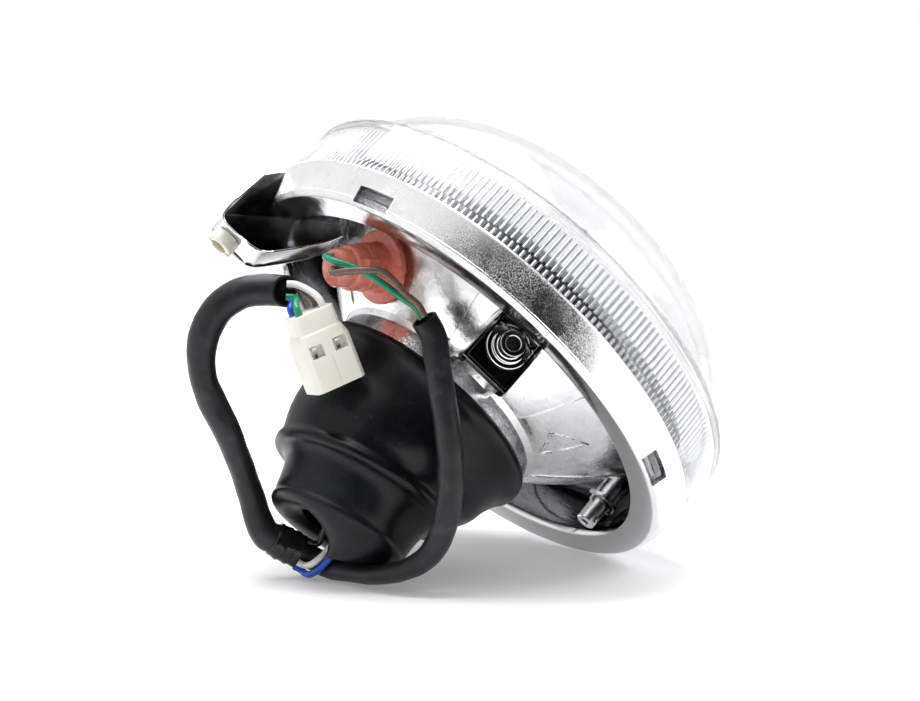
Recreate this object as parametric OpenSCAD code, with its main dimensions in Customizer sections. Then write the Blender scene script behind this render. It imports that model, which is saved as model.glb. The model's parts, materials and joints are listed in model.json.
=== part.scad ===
/* [Rim and lens] */
// Outer radius of the rim where it meets the lens
rim_r = 78; // [70:0.5:86]
// How much smaller the rim is at its rear edge
rim_taper = 3.7; // [2:0.1:6]
// Depth of the rim behind the joint with the lens
rim_depth = 10.4; // [8:0.2:14]
// Radius of the rear opening inside the rim
rim_lip_r = 65.4; // [60:0.2:67]
// Wall of the metallised moulding
shell_wall = 1.9; // [1.4:0.1:2.6]
// Width of the clear band in front of the joint
lens_band = 18.8; // [14:0.2:24]
// Radius of the dome where it leaves the band
dome_r = 70.5; // [62:0.5:73]
// Height of the dome in front of the band
dome_h = 37; // [24:0.5:46]
// Wall of the clear lens
lens_wall = 2.4; // [1.8:0.1:3.2]
// Clearance between the lens skirt and the rim channel
skirt_gap = 0.3; // [0.2:0.05:0.6]

/* [Reflector bowl] */
// Focal length of the bowl
bowl_focus = 24.7; // [22:0.1:27]
// Where the bowl would close to a point, behind the joint
bowl_apex = 28.4; // [26:0.2:30]
// Outer radius of the neck that the boot grips
neck_r = 34.5; // [33:0.2:36]
// Rear end of the neck, behind the joint
neck_end = 24.4; // [23:0.2:26]
// Radius of the opening for the main bulb
bulb_hole_r = 19.2; // [17:0.2:20]

/* [Pivots and adjuster] */
// How far the two pivots stand behind the joint
rim_to_pivot = 14.8; // [12:0.2:17]
// Distance of each pivot pad from the lamp axis
pad_reach = 61; // [58:0.5:64]
// Length of a pivot pad along the lamp axis
pad_l = 20.4; // [16:0.2:22]
// Width of a pivot pad
pad_w = 15.6; // [14:0.2:18]
// Outer radius of the pivot boss
boss_r = 6.1; // [5.6:0.1:6.8]
// Height of the pivot boss above its pad
boss_h = 5.4; // [4.6:0.1:6.4]
// Side of the square hole in the pivot boss
boss_hole = 2.8; // [2:0.1:3.4]
// Height of the adjuster arm above the lamp axis
arm_top = 81.6; // [80:0.2:84]
// Width of the adjuster arm
arm_w = 16; // [14:0.5:20]
// How far the arm reaches behind the joint
arm_back = 25; // [23:0.2:28]
// Height of the adjuster nut above the lamp axis
nut_z = 76.4; // [75:0.2:78]
// Radius of the adjuster nut
nut_r = 4.3; // [3.8:0.1:4.8]
// Radius of the bore in the adjuster nut
nut_bore_r = 2; // [1.5:0.1:2.4]
// Distance of the fixing boss below the lamp axis
post_drop = 58; // [56.5:0.5:59.5]
// Outer radius of the fixing boss
post_r = 3; // [2.6:0.1:3.4]
// Radius of the pilot bore in the fixing boss
post_bore_r = 1.3; // [1:0.05:1.6]
// Rear end of the fixing boss, behind the joint
post_end = 12.9; // [11:0.1:15]

/* [Main bulb] */
// Radius of the locating flange of the main bulb
flange_r = 21.5; // [20.5:0.5:22.5]
// Radius of the bulb glass
glass_r = 8.2; // [7:0.1:9]
// Length of the bulb glass in front of the cap
glass_l = 42; // [36:0.5:44]
// Radius of the bulb cap behind the flange
cap_r = 11; // [10:0.2:12]

/* [Rubber boot] */
// Radius of the thick lip of the boot
boot_lip_r = 37; // [36.4:0.1:38.5]
// Radius of the ridge round the first stage
boot_ridge_r = 28.6; // [27:0.2:30]
// How far the ridge stands behind the joint
boot_ridge = 52; // [49:0.5:56]
// Radius of the second stage
boot_end_r = 21.4; // [20:0.2:23]
// Length of the second stage behind the ridge
boot_end_l = 17; // [15:0.5:20]
// Angle by which the free end of the boot droops
boot_droop = 11.4; // [6:0.2:13]
// Wall of the boot
boot_wall = 1.8; // [1.4:0.1:2.4]

/* [Position lamp] */
// Angle of the position lamp round the lamp axis
holder_angle = 123.5; // [118:0.5:126]
// Distance of the position lamp from the lamp axis
holder_reach = 45.2; // [43:0.2:47]
// Radius of the outer flange of the bulb holder
holder_flange_r = 10.6; // [9.8:0.1:11.4]
// Radius of the holder body
holder_r = 7.8; // [7:0.1:8.6]
// How far the holder stands out of the bowl
holder_l = 18.6; // [17:0.2:20]

/* [Wiring] */
// Diameter of one wire
wire_d = 2; // [1.6:0.1:2.2]
// Diameter of the sleeve to the position lamp
sleeve_d = 7.4; // [6.8:0.1:8]
// Diameter of the sleeve to the connector
wide_sleeve_d = 9; // [8.4:0.1:9.6]
// Width of the connector
plug_w = 15; // [13:0.2:16]
// Thickness of the connector
plug_t = 12; // [11:0.2:12.4]
// Length of the connector
plug_l = 22; // [20:0.2:24]

/* [Hidden] */

round_fn = 96;
small_fn = 40;
fit = 0.3; // air between pieces that are only pushed together
bite = 0.6; // how deep one shape of a moulding runs into the next

// Rim and channel
channel_wall_in = rim_lip_r - 0.6;
gutter_floor = -8;
function rim_at(y) = rim_r - rim_taper * y / rim_depth;
rim_rear_r = rim_at(rim_depth);

// Bowl
function bowl_y(r, wall) = bowl_apex - wall - r * r / (4 * bowl_focus);
bowl_wall = 2.4;
bowl_front_r = sqrt(4 * bowl_focus * (bowl_apex - gutter_floor)) + 0.4;
bowl_steps = 16;
seat_r = 30; // where the bowl gives way to the flat bulb seat
seat_front = bowl_y(seat_r, bowl_wall);
seat_back = seat_front + bowl_wall;
neck_wall = 2.2;
neck_start = bowl_y(neck_r, bowl_wall / 2);

// Bulb seat
seat_boss_r = 3.4;
seat_boss_at = 27.6;
seat_boss_top = seat_back + 2.6;
seat_ring_t = 1.2;
seat_ring_r = neck_r - neck_wall - 1;
seat_angles = [90, 210, 330];
screw_r = 1.4;
screw_l = 4.4;
screw_head_r = 2.7;
screw_head_h = 1.8;

// Main bulb
flange_t = 1;
flange_y = seat_boss_top + seat_ring_t;
cap_l = 8;
cap_end = flange_y + flange_t + cap_l;
blade_w = 7.8;
blade_t = 0.8;
blade_l = 8;
blade_at = 6.2; // distance of a blade from the bulb axis
bulb_hood_r = glass_r + 1.6;

// Plug behind the bulb
plug_gap = 1.2;
bulb_plug_y = cap_end + plug_gap;
bulb_plug_l = 17;
bulb_plug_half = 13.5;
bulb_plug_end = bulb_plug_y + bulb_plug_l; // the wires start here

// Boot
boot_lip_y = 21.4;
boot_lip_l = 5.6;
boot_grip_r = neck_r + fit;
boot_axis_drop = 0.9; // the droop turns about a point this far under the lamp axis
boot_bead = 1.5;
boot_groove_r = boot_end_r + 3.4;
boot_hole_r = 11; // opening in the end of the boot
boot_cone_y = boot_lip_y + 16.6; // where the round lip part gives way to the slanting cone

// Pads
pad_t = 2.2;
pad_wall = 1.8;
boss_base_h = 1.4; // first step of the boss
boss_ring_h = 2.6; // second step, where the journal starts
journal_r = boss_r - 2.5;

// Arm
arm_wall = 1.8;
arm_slot_r = nut_bore_r + 1.1;

// Fixing boss
post_bore_l = 14;

// Snap windows
window_w = 12.6;
window_front = 4.9;
window_angles = [45, 135, 225, 315];
tab_w = window_w - 2.4;

// Position lamp
holder_tilt = atan2(holder_reach, 2 * bowl_focus);
holder_hole_r = holder_r + 0.2;
holder_stem = bowl_wall + 1.6;
holder_flange_t = 3;
glow_r = 4.8;
glow_l = 19;

// Connector
plug_at = [-28.6, 37.9, 33.2];
plug_turn = [30, 0, 10];
plug_wall = 1.3;
plug_cavity = 9;
plug_neck_l = 7;
plug_neck_w = plug_w - 2.6;
plug_row = plug_w / 4 - 0.2; // the holes stand this far each side of the middle
plug_column = 2.6;
plug_hole_r = wire_d / 2 + 0.2;

// Places on the connector and on the bulb holder, measured from the joint plane and the lamp axis
function plug_point(x, y, z) =
  let (u = y * cos(plug_turn[0]) - z * sin(plug_turn[0]), v = y * sin(plug_turn[0]) + z * cos(plug_turn[0]))
    plug_at
      + [x * cos(plug_turn[2]) - u * sin(plug_turn[2]), x * sin(plug_turn[2]) + u * cos(plug_turn[2]), v];
function holder_point(x, y, z) =
  let (r = holder_reach + x * cos(holder_tilt) + z * sin(holder_tilt),
       back = bowl_y(holder_reach, 0) - x * sin(holder_tilt) + z * cos(holder_tilt))
    [r * cos(holder_angle) + y * sin(holder_angle), back, r * sin(holder_angle) - y * cos(holder_angle)];

// Routes of the wiring, round numbers, each measured from the joint plane and the lamp axis
tape_start = [13.6, 75.2, -1.5];
tape_end = [13.3, 77.6, 6.5];
tape_run = [-0.3, 2.4, 8]; // the sleeves enter and leave the tape along this line
position_sleeve_route = [
  [-44, 18.6, 20.6], [-44, 20.2, 16], [-44, 25.5, 9.5], [-42.5, 31.5, 1.5], [-39.5, 37.5, -7],
  [-35.5, 43.5, -14.5], [-31.5, 50, -20.5], [-27.5, 56, -24.3], [-23.5, 61.5, -25.6],
  [-18, 66.8, -23.9], [-10, 70.6, -20.3],
  [1, 72.6, -15], [9, 73.8, -10.4], tape_start - tape_run / 2, tape_start
];
connector_sleeve_route = [
  tape_end, tape_end + tape_run / 3, [12.5, 76.8, 13.8], [11, 74, 19.3], [8.5, 71, 26], [5.5, 68.5, 32.5],
  [2, 66.5, 39], [0, 64.5, 46], [-3, 61.5, 53.5], [-8, 55.5, 60.5], [-13, 47.5, 63.5], [-17, 40.5, 62],
  [-20, 36, 58], [-22.5, 32.5, 53]
];
mouth = position_sleeve_route[0];
mouth_run = [0, 1.6, -4.6];
green_route = [
  holder_point(3, 1, holder_l + 0.02), holder_point(3, 1, holder_l + 2.2), [-36.6, 21.5, 49.3],
  [-38.8, 20.1, 45.2], [-41, 19.3, 40.5], [-42.4, 18.8, 35.4], [-42.8, 18.2, 30],
  mouth + [1.3, 0, 0] - mouth_run * 0.8, mouth + [1.3, 0, 0] - mouth_run * 0.06
];
brown_route = [
  holder_point(0.2, -3.2, holder_l + 0.02), holder_point(0.2, -3.2, holder_l + 2.6), [-38.4, 25, 47.2],
  [-41.4, 23.2, 45], [-44.6, 20.4, 41.6], [-45.8, 17.8, 38], [-46.2, 17.4, 33.8], [-46.2, 17.9, 29.5],
  mouth - [1.3, 0, 0] - mouth_run * 0.8, mouth - [1.3, 0, 0] - mouth_run * 0.06
];
function at_tape(beside, back) = tape_start + beside - tape_run * back;
white_route = [
  [-4, bulb_plug_end + 0.02, -5], [-4, bulb_plug_end + 3, -5], [-1, 58, -5.2], [2.4, 64, -6],
  [4.6, 68.5, -6.2], [5, 72.4, -6.5], [5.4, 75.6, -6.2], [7.4, 77.4, -5.8],
  at_tape([-3.13, 3.51, -1.17], 0.25), at_tape([-3.13, 3.51, -1.17], 0.01)
];
blue_route = [
  [4, bulb_plug_end + 0.02, -4], [4, bulb_plug_end + 3, -4], [4.2, 60, -7.5], [3, 67.5, -9.2],
  [2.6, 73.4, -8.3], [5.2, 76.8, -8.4],
  [9, 79.5, -7.5], at_tape([-0.69, 4.58, -1.4], 0.25), at_tape([-0.69, 4.58, -1.4], 0.01)
];
black_route = [
  [-4, bulb_plug_end + 0.02, 3], [-4, bulb_plug_end + 3, 3], [0, 58, 1], [4, 63.5, -0.6], [7.5, 67.5, -2.2],
  [9.5, 70.4, -3.6], at_tape([-3.7, -3, 0.77], 0.25), at_tape([-3.7, -3, 0.77], 0.01)
];
function stub(x, y, sway) = [
  connector_mouth + sway + connector_mouth_run * 0.02, connector_mouth + sway + connector_mouth_run * 0.4,
  plug_point(x, y, plug_l / 2 + 2.2), plug_point(x, y, plug_l / 2 - 2)
];
connector_mouth = connector_sleeve_route[13];
connector_mouth_run = [-2.5, -3.5, -5];

// Turns the profile points, each a radius and a distance behind the joint, round the lamp axis
module turned(profile) {
  at_joint() rotate([-90, 0, 0]) rotate_extrude($fn = round_fn) polygon(profile);
}

module at_joint() {
  translate([0, -rim_to_pivot, 0]) children();
}

// Carries a piece drawn along +Z to a place along the lamp axis, pointing backwards
module backwards(y) {
  at_joint() translate([0, y, 0]) rotate([-90, 0, 0]) children();
}

// Turns a piece round the lamp axis, from the +X side to the given angle
module round_axis(angle) {
  rotate([0, -angle, 0]) children();
}

// Drawn along +Z from the outer face of the bowl, square to it
module on_bowl(angle, reach) {
  round_axis(angle) at_joint() translate([reach, bowl_y(reach, 0), 0])
    rotate([0, 0, -atan2(reach, 2 * bowl_focus)]) rotate([-90, 0, 0]) children();
}

function unit(v) = v / norm(v);
function heading(p, i) = unit(p[min(i + 1, len(p) - 1)] - p[max(i - 1, 0)]);
function side_of(d) = unit(cross(d, abs(d[0]) < 0.9 ? [1, 0, 0] : [0, 0, 1]));
function carried(p, i, s) = unit(s - (s * heading(p, i)) * heading(p, i));
function sides(p, i = 0, s = [0, 0, 1], out = []) =
  i >= len(p) ? out : sides(p, i + 1, carried(p, i, s), concat(out, [carried(p, i, s)]));

// Tube along a route: each ring stands square to the route
module tube_along(route, d, facets) {
  across = sides(route, 0, side_of(heading(route, 0)), []);
  rings = len(route);
  points = [
    for (i = [0 : rings - 1]) for (k = [0 : facets - 1])
      let (a = 360 * k / facets, up = cross(heading(route, i), across[i]))
        route[i] + d / 2 * (cos(a) * across[i] + sin(a) * up)
  ];
  walls = [
    for (i = [0 : rings - 2]) for (k = [0 : facets - 1])
      let (a = i * facets + k, b = i * facets + (k + 1) % facets) [a, b, b + facets, a + facets]
  ];
  caps = [[for (k = [facets - 1 : -1 : 0]) k], [for (k = [0 : facets - 1]) (rings - 1) * facets + k]];
  at_joint() polyhedron(points, [for (f = concat(walls, caps)) [for (k = [len(f) - 1 : -1 : 0]) f[k]]]);
}

// Clear lens: dome, flange, band and the skirt that sits in the channel of the rim
module lens() {
  skirt_end = window_front + 1.6;
  skirt_r = rim_at(0) - shell_wall - skirt_gap;
  slope = rim_taper / rim_depth;
  band_r = rim_r - 0.4;
  front_r = band_r - 0.8;
  inner_r = dome_r - lens_wall;
  inner_h = dome_h - lens_wall;
  steps = 18;
  color([0.92, 0.95, 0.97, 0.45]) {
    turned(concat(
      [for (i = [steps : -1 : 0]) let (a = 90 * i / steps)
        [dome_r * cos(a), -lens_band - 0.8 - dome_h * sin(a)]],
      [[front_r - 1.2, -lens_band - 0.8], [front_r, -lens_band + 0.2], [front_r + 0.5, -lens_band + 0.6],
       [front_r, -lens_band + 1.4], [band_r, -0.2], [skirt_r, -0.2], [skirt_r - slope * skirt_end, skirt_end],
       [skirt_r - slope * skirt_end - lens_wall, skirt_end], [skirt_r - lens_wall, -0.4],
       [front_r - lens_wall, -lens_band + lens_wall]],
      [for (i = [0 : steps]) let (a = 90 * i / steps) [inner_r * cos(a), -lens_band + 0.4 - inner_h * sin(a)]]
    ));
    for (a = window_angles) round_axis(a) at_joint() lens_tab(skirt_end);
  }
}

// Snap tab that shows in a window of the rim
module lens_tab(root) {
  root_r = rim_at(root) - shell_wall - skirt_gap - lens_wall;
  translate([root_r, root - 0.4, -tab_w / 2]) linear_extrude(tab_w)
    polygon([[0, 0], [lens_wall, 0], [lens_wall + 0.7, 1.2], [lens_wall - 0.4, 2], [0.2, 2]]);
}

module lens_sealant() {
  bead_y = rim_depth - shell_wall;
  color([0.86, 0.86, 0.84])
    turned([[channel_wall_in + shell_wall, bead_y - 1.5], [rim_at(bead_y) - shell_wall - 5.4, bead_y - 1.5],
            [rim_at(bead_y) - shell_wall - 4.6, bead_y], [channel_wall_in + shell_wall, bead_y]]);
}

// One moulding: rim with its channel, bowl, neck, pads, arm and fixing boss
module lamp_housing() {
  color([0.78, 0.79, 0.81]) {
    difference() {
      union() {
        turned(rim_profile());
        turned(bowl_profile());
        turned(neck_profile());
        for (side = [0, 180]) rotate([0, side, 0]) pivot_pad();
        fixing_post();
        seat_bosses();
        adjuster_arm();
      }
      for (a = window_angles) round_axis(a) at_joint() rim_window();
      on_bowl(holder_angle, holder_reach) translate([0, 0, -8])
        cylinder(r = holder_hole_r, h = 16, $fn = small_fn);
      for (side = [0, 180]) rotate([0, side, 0]) pivot_hole();
      backwards(post_end - post_bore_l) translate([0, post_drop, 0])
        cylinder(r = post_bore_r, h = 20, $fn = small_fn);
      nut_hole();
      for (a = seat_angles) screw_bore(a);
    }
  }
}

function rim_profile() = [
  [rim_r - shell_wall, 0], [rim_r, 0], [rim_rear_r, rim_depth - 1.6], [rim_rear_r - 0.5, rim_depth - 0.5],
  [rim_rear_r - 1.6, rim_depth], [rim_lip_r + 0.8, rim_depth - 0.4], [rim_lip_r, rim_depth - 1.2],
  [channel_wall_in, rim_depth - 2.4], [channel_wall_in, gutter_floor], [bowl_front_r - 1, gutter_floor],
  [bowl_front_r - 1, gutter_floor - shell_wall], [channel_wall_in + shell_wall, gutter_floor - shell_wall],
  [channel_wall_in + shell_wall, rim_depth - shell_wall],
  [rim_at(rim_depth - shell_wall) - shell_wall - 0.6, rim_depth - shell_wall],
  [rim_at(rim_depth - shell_wall - 0.8) - shell_wall, rim_depth - shell_wall - 0.8]
];

function bowl_profile() = concat(
  [for (i = [0 : bowl_steps]) let (r = seat_r + (bowl_front_r - seat_r) * i / bowl_steps) [r, bowl_y(r, 0)]],
  [for (i = [bowl_steps : -1 : 0])
    let (r = seat_r + (bowl_front_r - 0.6 - seat_r) * i / bowl_steps) [r, bowl_y(r, bowl_wall)]],
  [[bulb_hole_r, seat_front], [bulb_hole_r, seat_back]]
);

function neck_profile() = [
  [neck_r - neck_wall, neck_start], [neck_r, neck_start], [neck_r, boot_lip_y + 0.6],
  [neck_r + 0.2, boot_lip_y + 0.8],
  [neck_r + 0.2, neck_end - 0.4], [neck_r - 0.4, neck_end], [neck_r - neck_wall, neck_end]
];

// Boxed pad: plate with a raised edge, front and side walls that run into the bowl, stepped boss
module pivot_pad() {
  translate([pad_reach - pad_t, -pad_l / 2, -pad_w / 2]) cube([pad_t, pad_l, pad_w]);
  difference() {
    translate([pad_reach - 0.2, -pad_l / 2, -pad_w / 2]) cube([0.8, pad_l, pad_w]);
    translate([pad_reach - 1, 1 - pad_l / 2, 1 - pad_w / 2]) cube([3, pad_l - 2, pad_w - 2]);
  }
  for (z = [-pad_w / 2, pad_w / 2 - pad_wall]) translate([0, 0, z])
    linear_extrude(pad_wall) polygon(pad_side());
  translate([bowl_reach(rim_to_pivot - pad_l / 2 + 0.8) - 0.8, -pad_l / 2, -pad_w / 2])
    cube([pad_reach - bowl_reach(rim_to_pivot - pad_l / 2 + 0.8) + 0.2, pad_wall, pad_w]);
  translate([pad_reach - 0.2, 0, 0]) rotate([0, 90, 0]) {
    cylinder(r = boss_r, h = boss_base_h + 0.2, $fn = small_fn);
    cylinder(r = boss_r - 1.4, h = boss_ring_h + 0.2, $fn = small_fn);
    cylinder(r = journal_r, h = boss_h + 0.2, $fn = small_fn);
  }
}

// Side wall of a pad: clear of the boot, its inner edge just inside the wall of the bowl and the neck
function pad_side() = let (rear = boot_lip_y - 2.4 - rim_to_pivot) concat(
  [[pad_reach, -pad_l / 2], [pad_reach, pad_l / 2], [pad_reach - 4, pad_l / 2], [neck_r + 6, rear]],
  [for (t = [0 : 0.25 : 1]) let (y = rear - t * (rear + pad_l / 2))
    [max(bowl_reach(rim_to_pivot + y) - 0.8, neck_r - 1), y]]
);

// Radius of the bowl's outer face at a distance behind the joint
function bowl_reach(y) = sqrt(4 * bowl_focus * max(bowl_apex - y, 1));

module pivot_hole() {
  translate([pad_reach + boss_h - 6, -boss_hole / 2, -boss_hole / 2]) cube([8, boss_hole, boss_hole]);
}

module fixing_post() {
  root = bowl_y(post_drop, bowl_wall / 2);
  backwards(root) translate([0, post_drop, 0]) cylinder(r = post_r, h = post_end - root, $fn = small_fn);
  backwards(root) translate([0, post_drop, 0]) for (a = [0, 120, 240]) rotate(a)
    translate([0, -0.6, 0]) cube([post_r + 1.4, 1.2, post_end - root - 6]);
}

module seat_bosses() {
  for (a = seat_angles) round_axis(a) backwards(seat_front + bite) translate([seat_boss_at, 0, 0])
    cylinder(r = seat_boss_r, h = seat_boss_top - seat_front - bite, $fn = small_fn);
}

module screw_bore(a) {
  round_axis(a) backwards(seat_boss_top - screw_l) translate([seat_boss_at, 0, 0])
    cylinder(r = screw_r, h = screw_l + 1, $fn = small_fn);
}

// Hooked arm over the rim: two side plates, a roof and a rear wall, clear of the lens and its channel
module adjuster_arm() {
  at_joint() difference() {
    translate([-arm_w / 2, 0, 0]) rotate([90, 0, 90]) linear_extrude(arm_w) polygon(arm_side(0));
    translate([-arm_w / 2 + arm_wall, 0, 0]) rotate([90, 0, 90]) linear_extrude(arm_w - 2 * arm_wall)
      polygon(arm_side(arm_wall));
    rotate([-90, 0, 0]) translate([0, 0, -20]) cylinder(r = rim_r + 10, h = 20, $fn = round_fn);
    rotate([-90, 0, 0]) rotate_extrude($fn = round_fn) polygon([
      [channel_wall_in + shell_wall, -1], [rim_at(-1) - shell_wall, -1],
      [rim_at(rim_depth - shell_wall) - shell_wall, rim_depth - shell_wall],
      [channel_wall_in + shell_wall, rim_depth - shell_wall]
    ]);
  }
}

function arm_side(t) = [
  [0.1 + t, rim_r - 0.8], [5.8 - t * 0.3, arm_top - 0.4 - t], [arm_back - 1.4 - t, arm_top - t],
  [arm_back - t, arm_top - 1.6 - t], [arm_back - 0.4 - t, 68 + t * 0.3],
  [arm_back - 1.5 - t, 65.6 + t * 0.6], [arm_back - 3.6 - t * 0.7, 63.6 + t * 0.9],
  [8 - t * 0.5, 54.6 + t], [3 - t * 0.2, 52.4 + t], [1, 56 + t], [-2 + t, 60], [-2 + t, 70],
  [0.1 + t, rim_r - 4]
];

module nut_hole() {
  backwards(arm_back - 6) translate([0, -nut_z, 0]) cylinder(r = arm_slot_r, h = 10, $fn = small_fn);
}

// Window through the rim at +X, open to its rear corner
module rim_window() {
  translate([rim_rear_r - 3.2, window_front, -window_w / 2])
    cube([8, rim_depth - window_front - 0.9, window_w]);
}

module bulb_seat_ring() {
  color([0.72, 0.72, 0.7]) difference() {
    backwards(seat_boss_top) difference() {
      cylinder(r = seat_ring_r, h = seat_ring_t, $fn = round_fn);
      translate([0, 0, -1]) cylinder(r = bulb_hole_r, h = 4, $fn = round_fn);
    }
    for (a = seat_angles) round_axis(a) backwards(seat_boss_top - 1) translate([seat_boss_at, 0, 0])
      cylinder(r = screw_r + 0.3, h = 4, $fn = small_fn);
  }
}

module seat_screws() {
  color([0.6, 0.6, 0.6]) for (a = seat_angles)
    round_axis(a) backwards(flange_y) translate([seat_boss_at, 0, 0]) seat_screw();
}

module seat_screw() {
  difference() {
    union() {
      cylinder(r = screw_head_r, h = screw_head_h, $fn = small_fn);
      translate([0, 0, -seat_ring_t - screw_l + 0.4])
        cylinder(r = screw_r - 0.05, h = screw_l + 1.4, $fn = small_fn);
    }
    translate([-0.4, -2, screw_head_h - 0.8]) cube([0.8, 4, 2]);
    translate([-2, -0.4, screw_head_h - 0.8]) cube([4, 0.8, 2]);
  }
}

// Wire clip that presses the bulb flange onto its seat
module bulb_spring_clip() {
  wire = 0.7;
  clip_r = 16.5;
  leg = 8;
  color([0.75, 0.75, 0.72]) backwards(flange_y + flange_t + wire) {
    rotate(-30) rotate_extrude(angle = 240, $fn = round_fn) translate([clip_r, 0]) circle(r = wire, $fn = 16);
    for (a = [-30, 210]) rotate(a) translate([clip_r, 0, 0]) {
      sphere(r = wire, $fn = 16);
      rotate([0, 90, 0]) cylinder(r = wire, h = leg, $fn = 16);
      translate([leg, 0, 0]) sphere(r = wire, $fn = 16);
    }
  }
}

module main_bulb_cap() {
  color([0.8, 0.78, 0.72]) {
    backwards(flange_y) difference() {
      cylinder(r = flange_r, h = flange_t, $fn = round_fn);
      for (a = [90, 225, 315]) rotate(a) translate([flange_r - 1.2, -1.5, -1]) cube([4, 3, 3]);
    }
    backwards(flange_y - 9) cylinder(r = bulb_hood_r + 3, h = 9.4, $fn = round_fn);
    backwards(flange_y + flange_t - 0.2) cylinder(r = cap_r, h = cap_l + 0.2, $fn = round_fn);
  }
}

module main_bulb_glass() {
  front = flange_y - 9 - glass_l;
  color([0.9, 0.93, 0.96, 0.5]) difference() {
    union() {
      backwards(front + glass_r) cylinder(r = glass_r, h = glass_l - glass_r, $fn = small_fn);
      backwards(front + glass_r) sphere(r = glass_r, $fn = small_fn);
    }
    backwards(front + glass_r) cylinder(r = glass_r - 1.1, h = glass_l - glass_r - 3, $fn = small_fn);
    backwards(front + glass_r) sphere(r = glass_r - 1.1, $fn = small_fn);
  }
}

// Two coils, with the dipped one over its shield
module main_bulb_filaments() {
  front = flange_y - 9 - glass_l;
  color([0.55, 0.52, 0.48]) {
    for (x = [-3.6, 3.6]) backwards(front + 9) translate([x, 0, 0])
      cylinder(r = 0.5, h = glass_l - 12, $fn = 16);
    backwards(front + 9) translate([-3.6, 0, 0]) rotate([0, 90, 0]) cylinder(r = 0.7, h = 7.2, $fn = 16);
    backwards(front + 20) translate([-3.6, 0, 0]) rotate([0, 90, 0]) cylinder(r = 0.7, h = 7.2, $fn = 16);
    backwards(front + 12) translate([-3.4, 1.2, 0]) cube([6.8, 0.5, 7]);
  }
}

module main_bulb_blades() {
  color([0.85, 0.8, 0.6]) backwards(cap_end) {
    translate([-blade_w / 2, -blade_at - blade_t / 2, 0]) cube([blade_w, blade_t, blade_l]);
    for (x = [-blade_at, blade_at]) translate([x - blade_t / 2, -blade_w / 2 + 2, 0])
      cube([blade_t, blade_w, blade_l]);
  }
}

// Three-way plug pushed over the blades
module bulb_plug() {
  clear = 0.3;
  color([0.2, 0.2, 0.22]) backwards(bulb_plug_y) difference() {
    union() {
      translate([-bulb_plug_half, -9.5, 0]) cube([2 * bulb_plug_half, 18, bulb_plug_l]);
      translate([-bulb_plug_half + 5, -11, 3]) cube([2 * bulb_plug_half - 10, 20, bulb_plug_l - 3]);
    }
    translate([-blade_w / 2 - clear, -blade_at - blade_t / 2 - clear, -1])
      cube([blade_w + 2 * clear, blade_t + 2 * clear, blade_l + 1]);
    for (x = [-blade_at, blade_at]) translate([x - blade_t / 2 - clear, -blade_w / 2 + 2 - clear, -1])
      cube([blade_t + 2 * clear, blade_w + 2 * clear, blade_l + 1]);
  }
}

// Stepped boot: the lip sits square on the neck, the rest droops
module rubber_boot() {
  color([0.12, 0.13, 0.15]) difference() {
    union() {
      turned(boot_lip(0));
      boot_cone(0);
      drooping() rotate_extrude($fn = round_fn) polygon(boot_stages(0));
    }
    turned(boot_lip(boot_wall));
    boot_cone(boot_wall);
    drooping() rotate_extrude($fn = round_fn) polygon(boot_stages(boot_wall));
  }
}

// Carries a piece drawn along +Z from the ridge of the boot, along its drooping axis
module drooping() {
  backwards(boot_ridge) translate([0, boot_axis_drop, 0]) rotate([-boot_droop, 0, 0]) children();
}

// Slanting cone from the square lip part to the drooping ridge
module boot_cone(t) {
  hull() {
    backwards(boot_cone_y - 5) cylinder(r = boot_ridge_r + 3.6 - t, h = 0.4, $fn = round_fn);
    drooping() translate([0, 0, -2.4]) cylinder(r = boot_ridge_r - 0.4 - t, h = 0.4, $fn = round_fn);
  }
}

function boot_lip(t) = t == 0 ?
  [[0, boot_lip_y], [boot_lip_r - 0.8, boot_lip_y], [boot_lip_r, boot_lip_y + 0.8],
   [boot_lip_r, boot_lip_y + 3.4], [boot_lip_r - 1.2, boot_lip_y + boot_lip_l - 0.6],
   [boot_lip_r - 3, boot_lip_y + boot_lip_l + 2.4],
   [boot_ridge_r + 3, boot_cone_y - 0.8], [boot_ridge_r + 1.2, boot_cone_y + 0.6], [0, boot_cone_y + 0.6]] :
  [[0, boot_lip_y - 1], [boot_grip_r, boot_lip_y - 1], [boot_grip_r, neck_end + 0.3],
   [boot_lip_r - 4.8, boot_lip_y + boot_lip_l + 0.4], [boot_ridge_r + 3.4 - t, boot_cone_y - 3],
   [0, boot_cone_y - 3]];

function boot_stages(t) = t == 0 ?
  [[0, -2.2], [boot_ridge_r - 0.4, -2.2], [boot_ridge_r, -boot_bead * 0.6], [boot_ridge_r, boot_bead * 0.4],
   [boot_ridge_r - 1, boot_bead], [boot_groove_r, boot_bead + 0.6], [boot_groove_r - 1.8, boot_bead + 2],
   [boot_end_r + 0.4, 6.4], [boot_end_r, boot_end_l - 5], [boot_end_r - 0.4, boot_end_l - 2],
   [boot_end_r - 2, boot_end_l - 0.4], [boot_end_r - 4.4, boot_end_l], [0, boot_end_l]] :
  [[0, -2.2], [boot_ridge_r - 0.6 - t, -2.2], [boot_groove_r - 0.8 - t, boot_bead - 1],
   [boot_end_r + 0.2 - t, 6], [boot_end_r - t, boot_end_l - 5],
   [boot_end_r - 2 - t, boot_end_l - t], [boot_hole_r, boot_end_l - t],
   [boot_hole_r, boot_end_l + 1], [0, boot_end_l + 1]];

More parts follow.
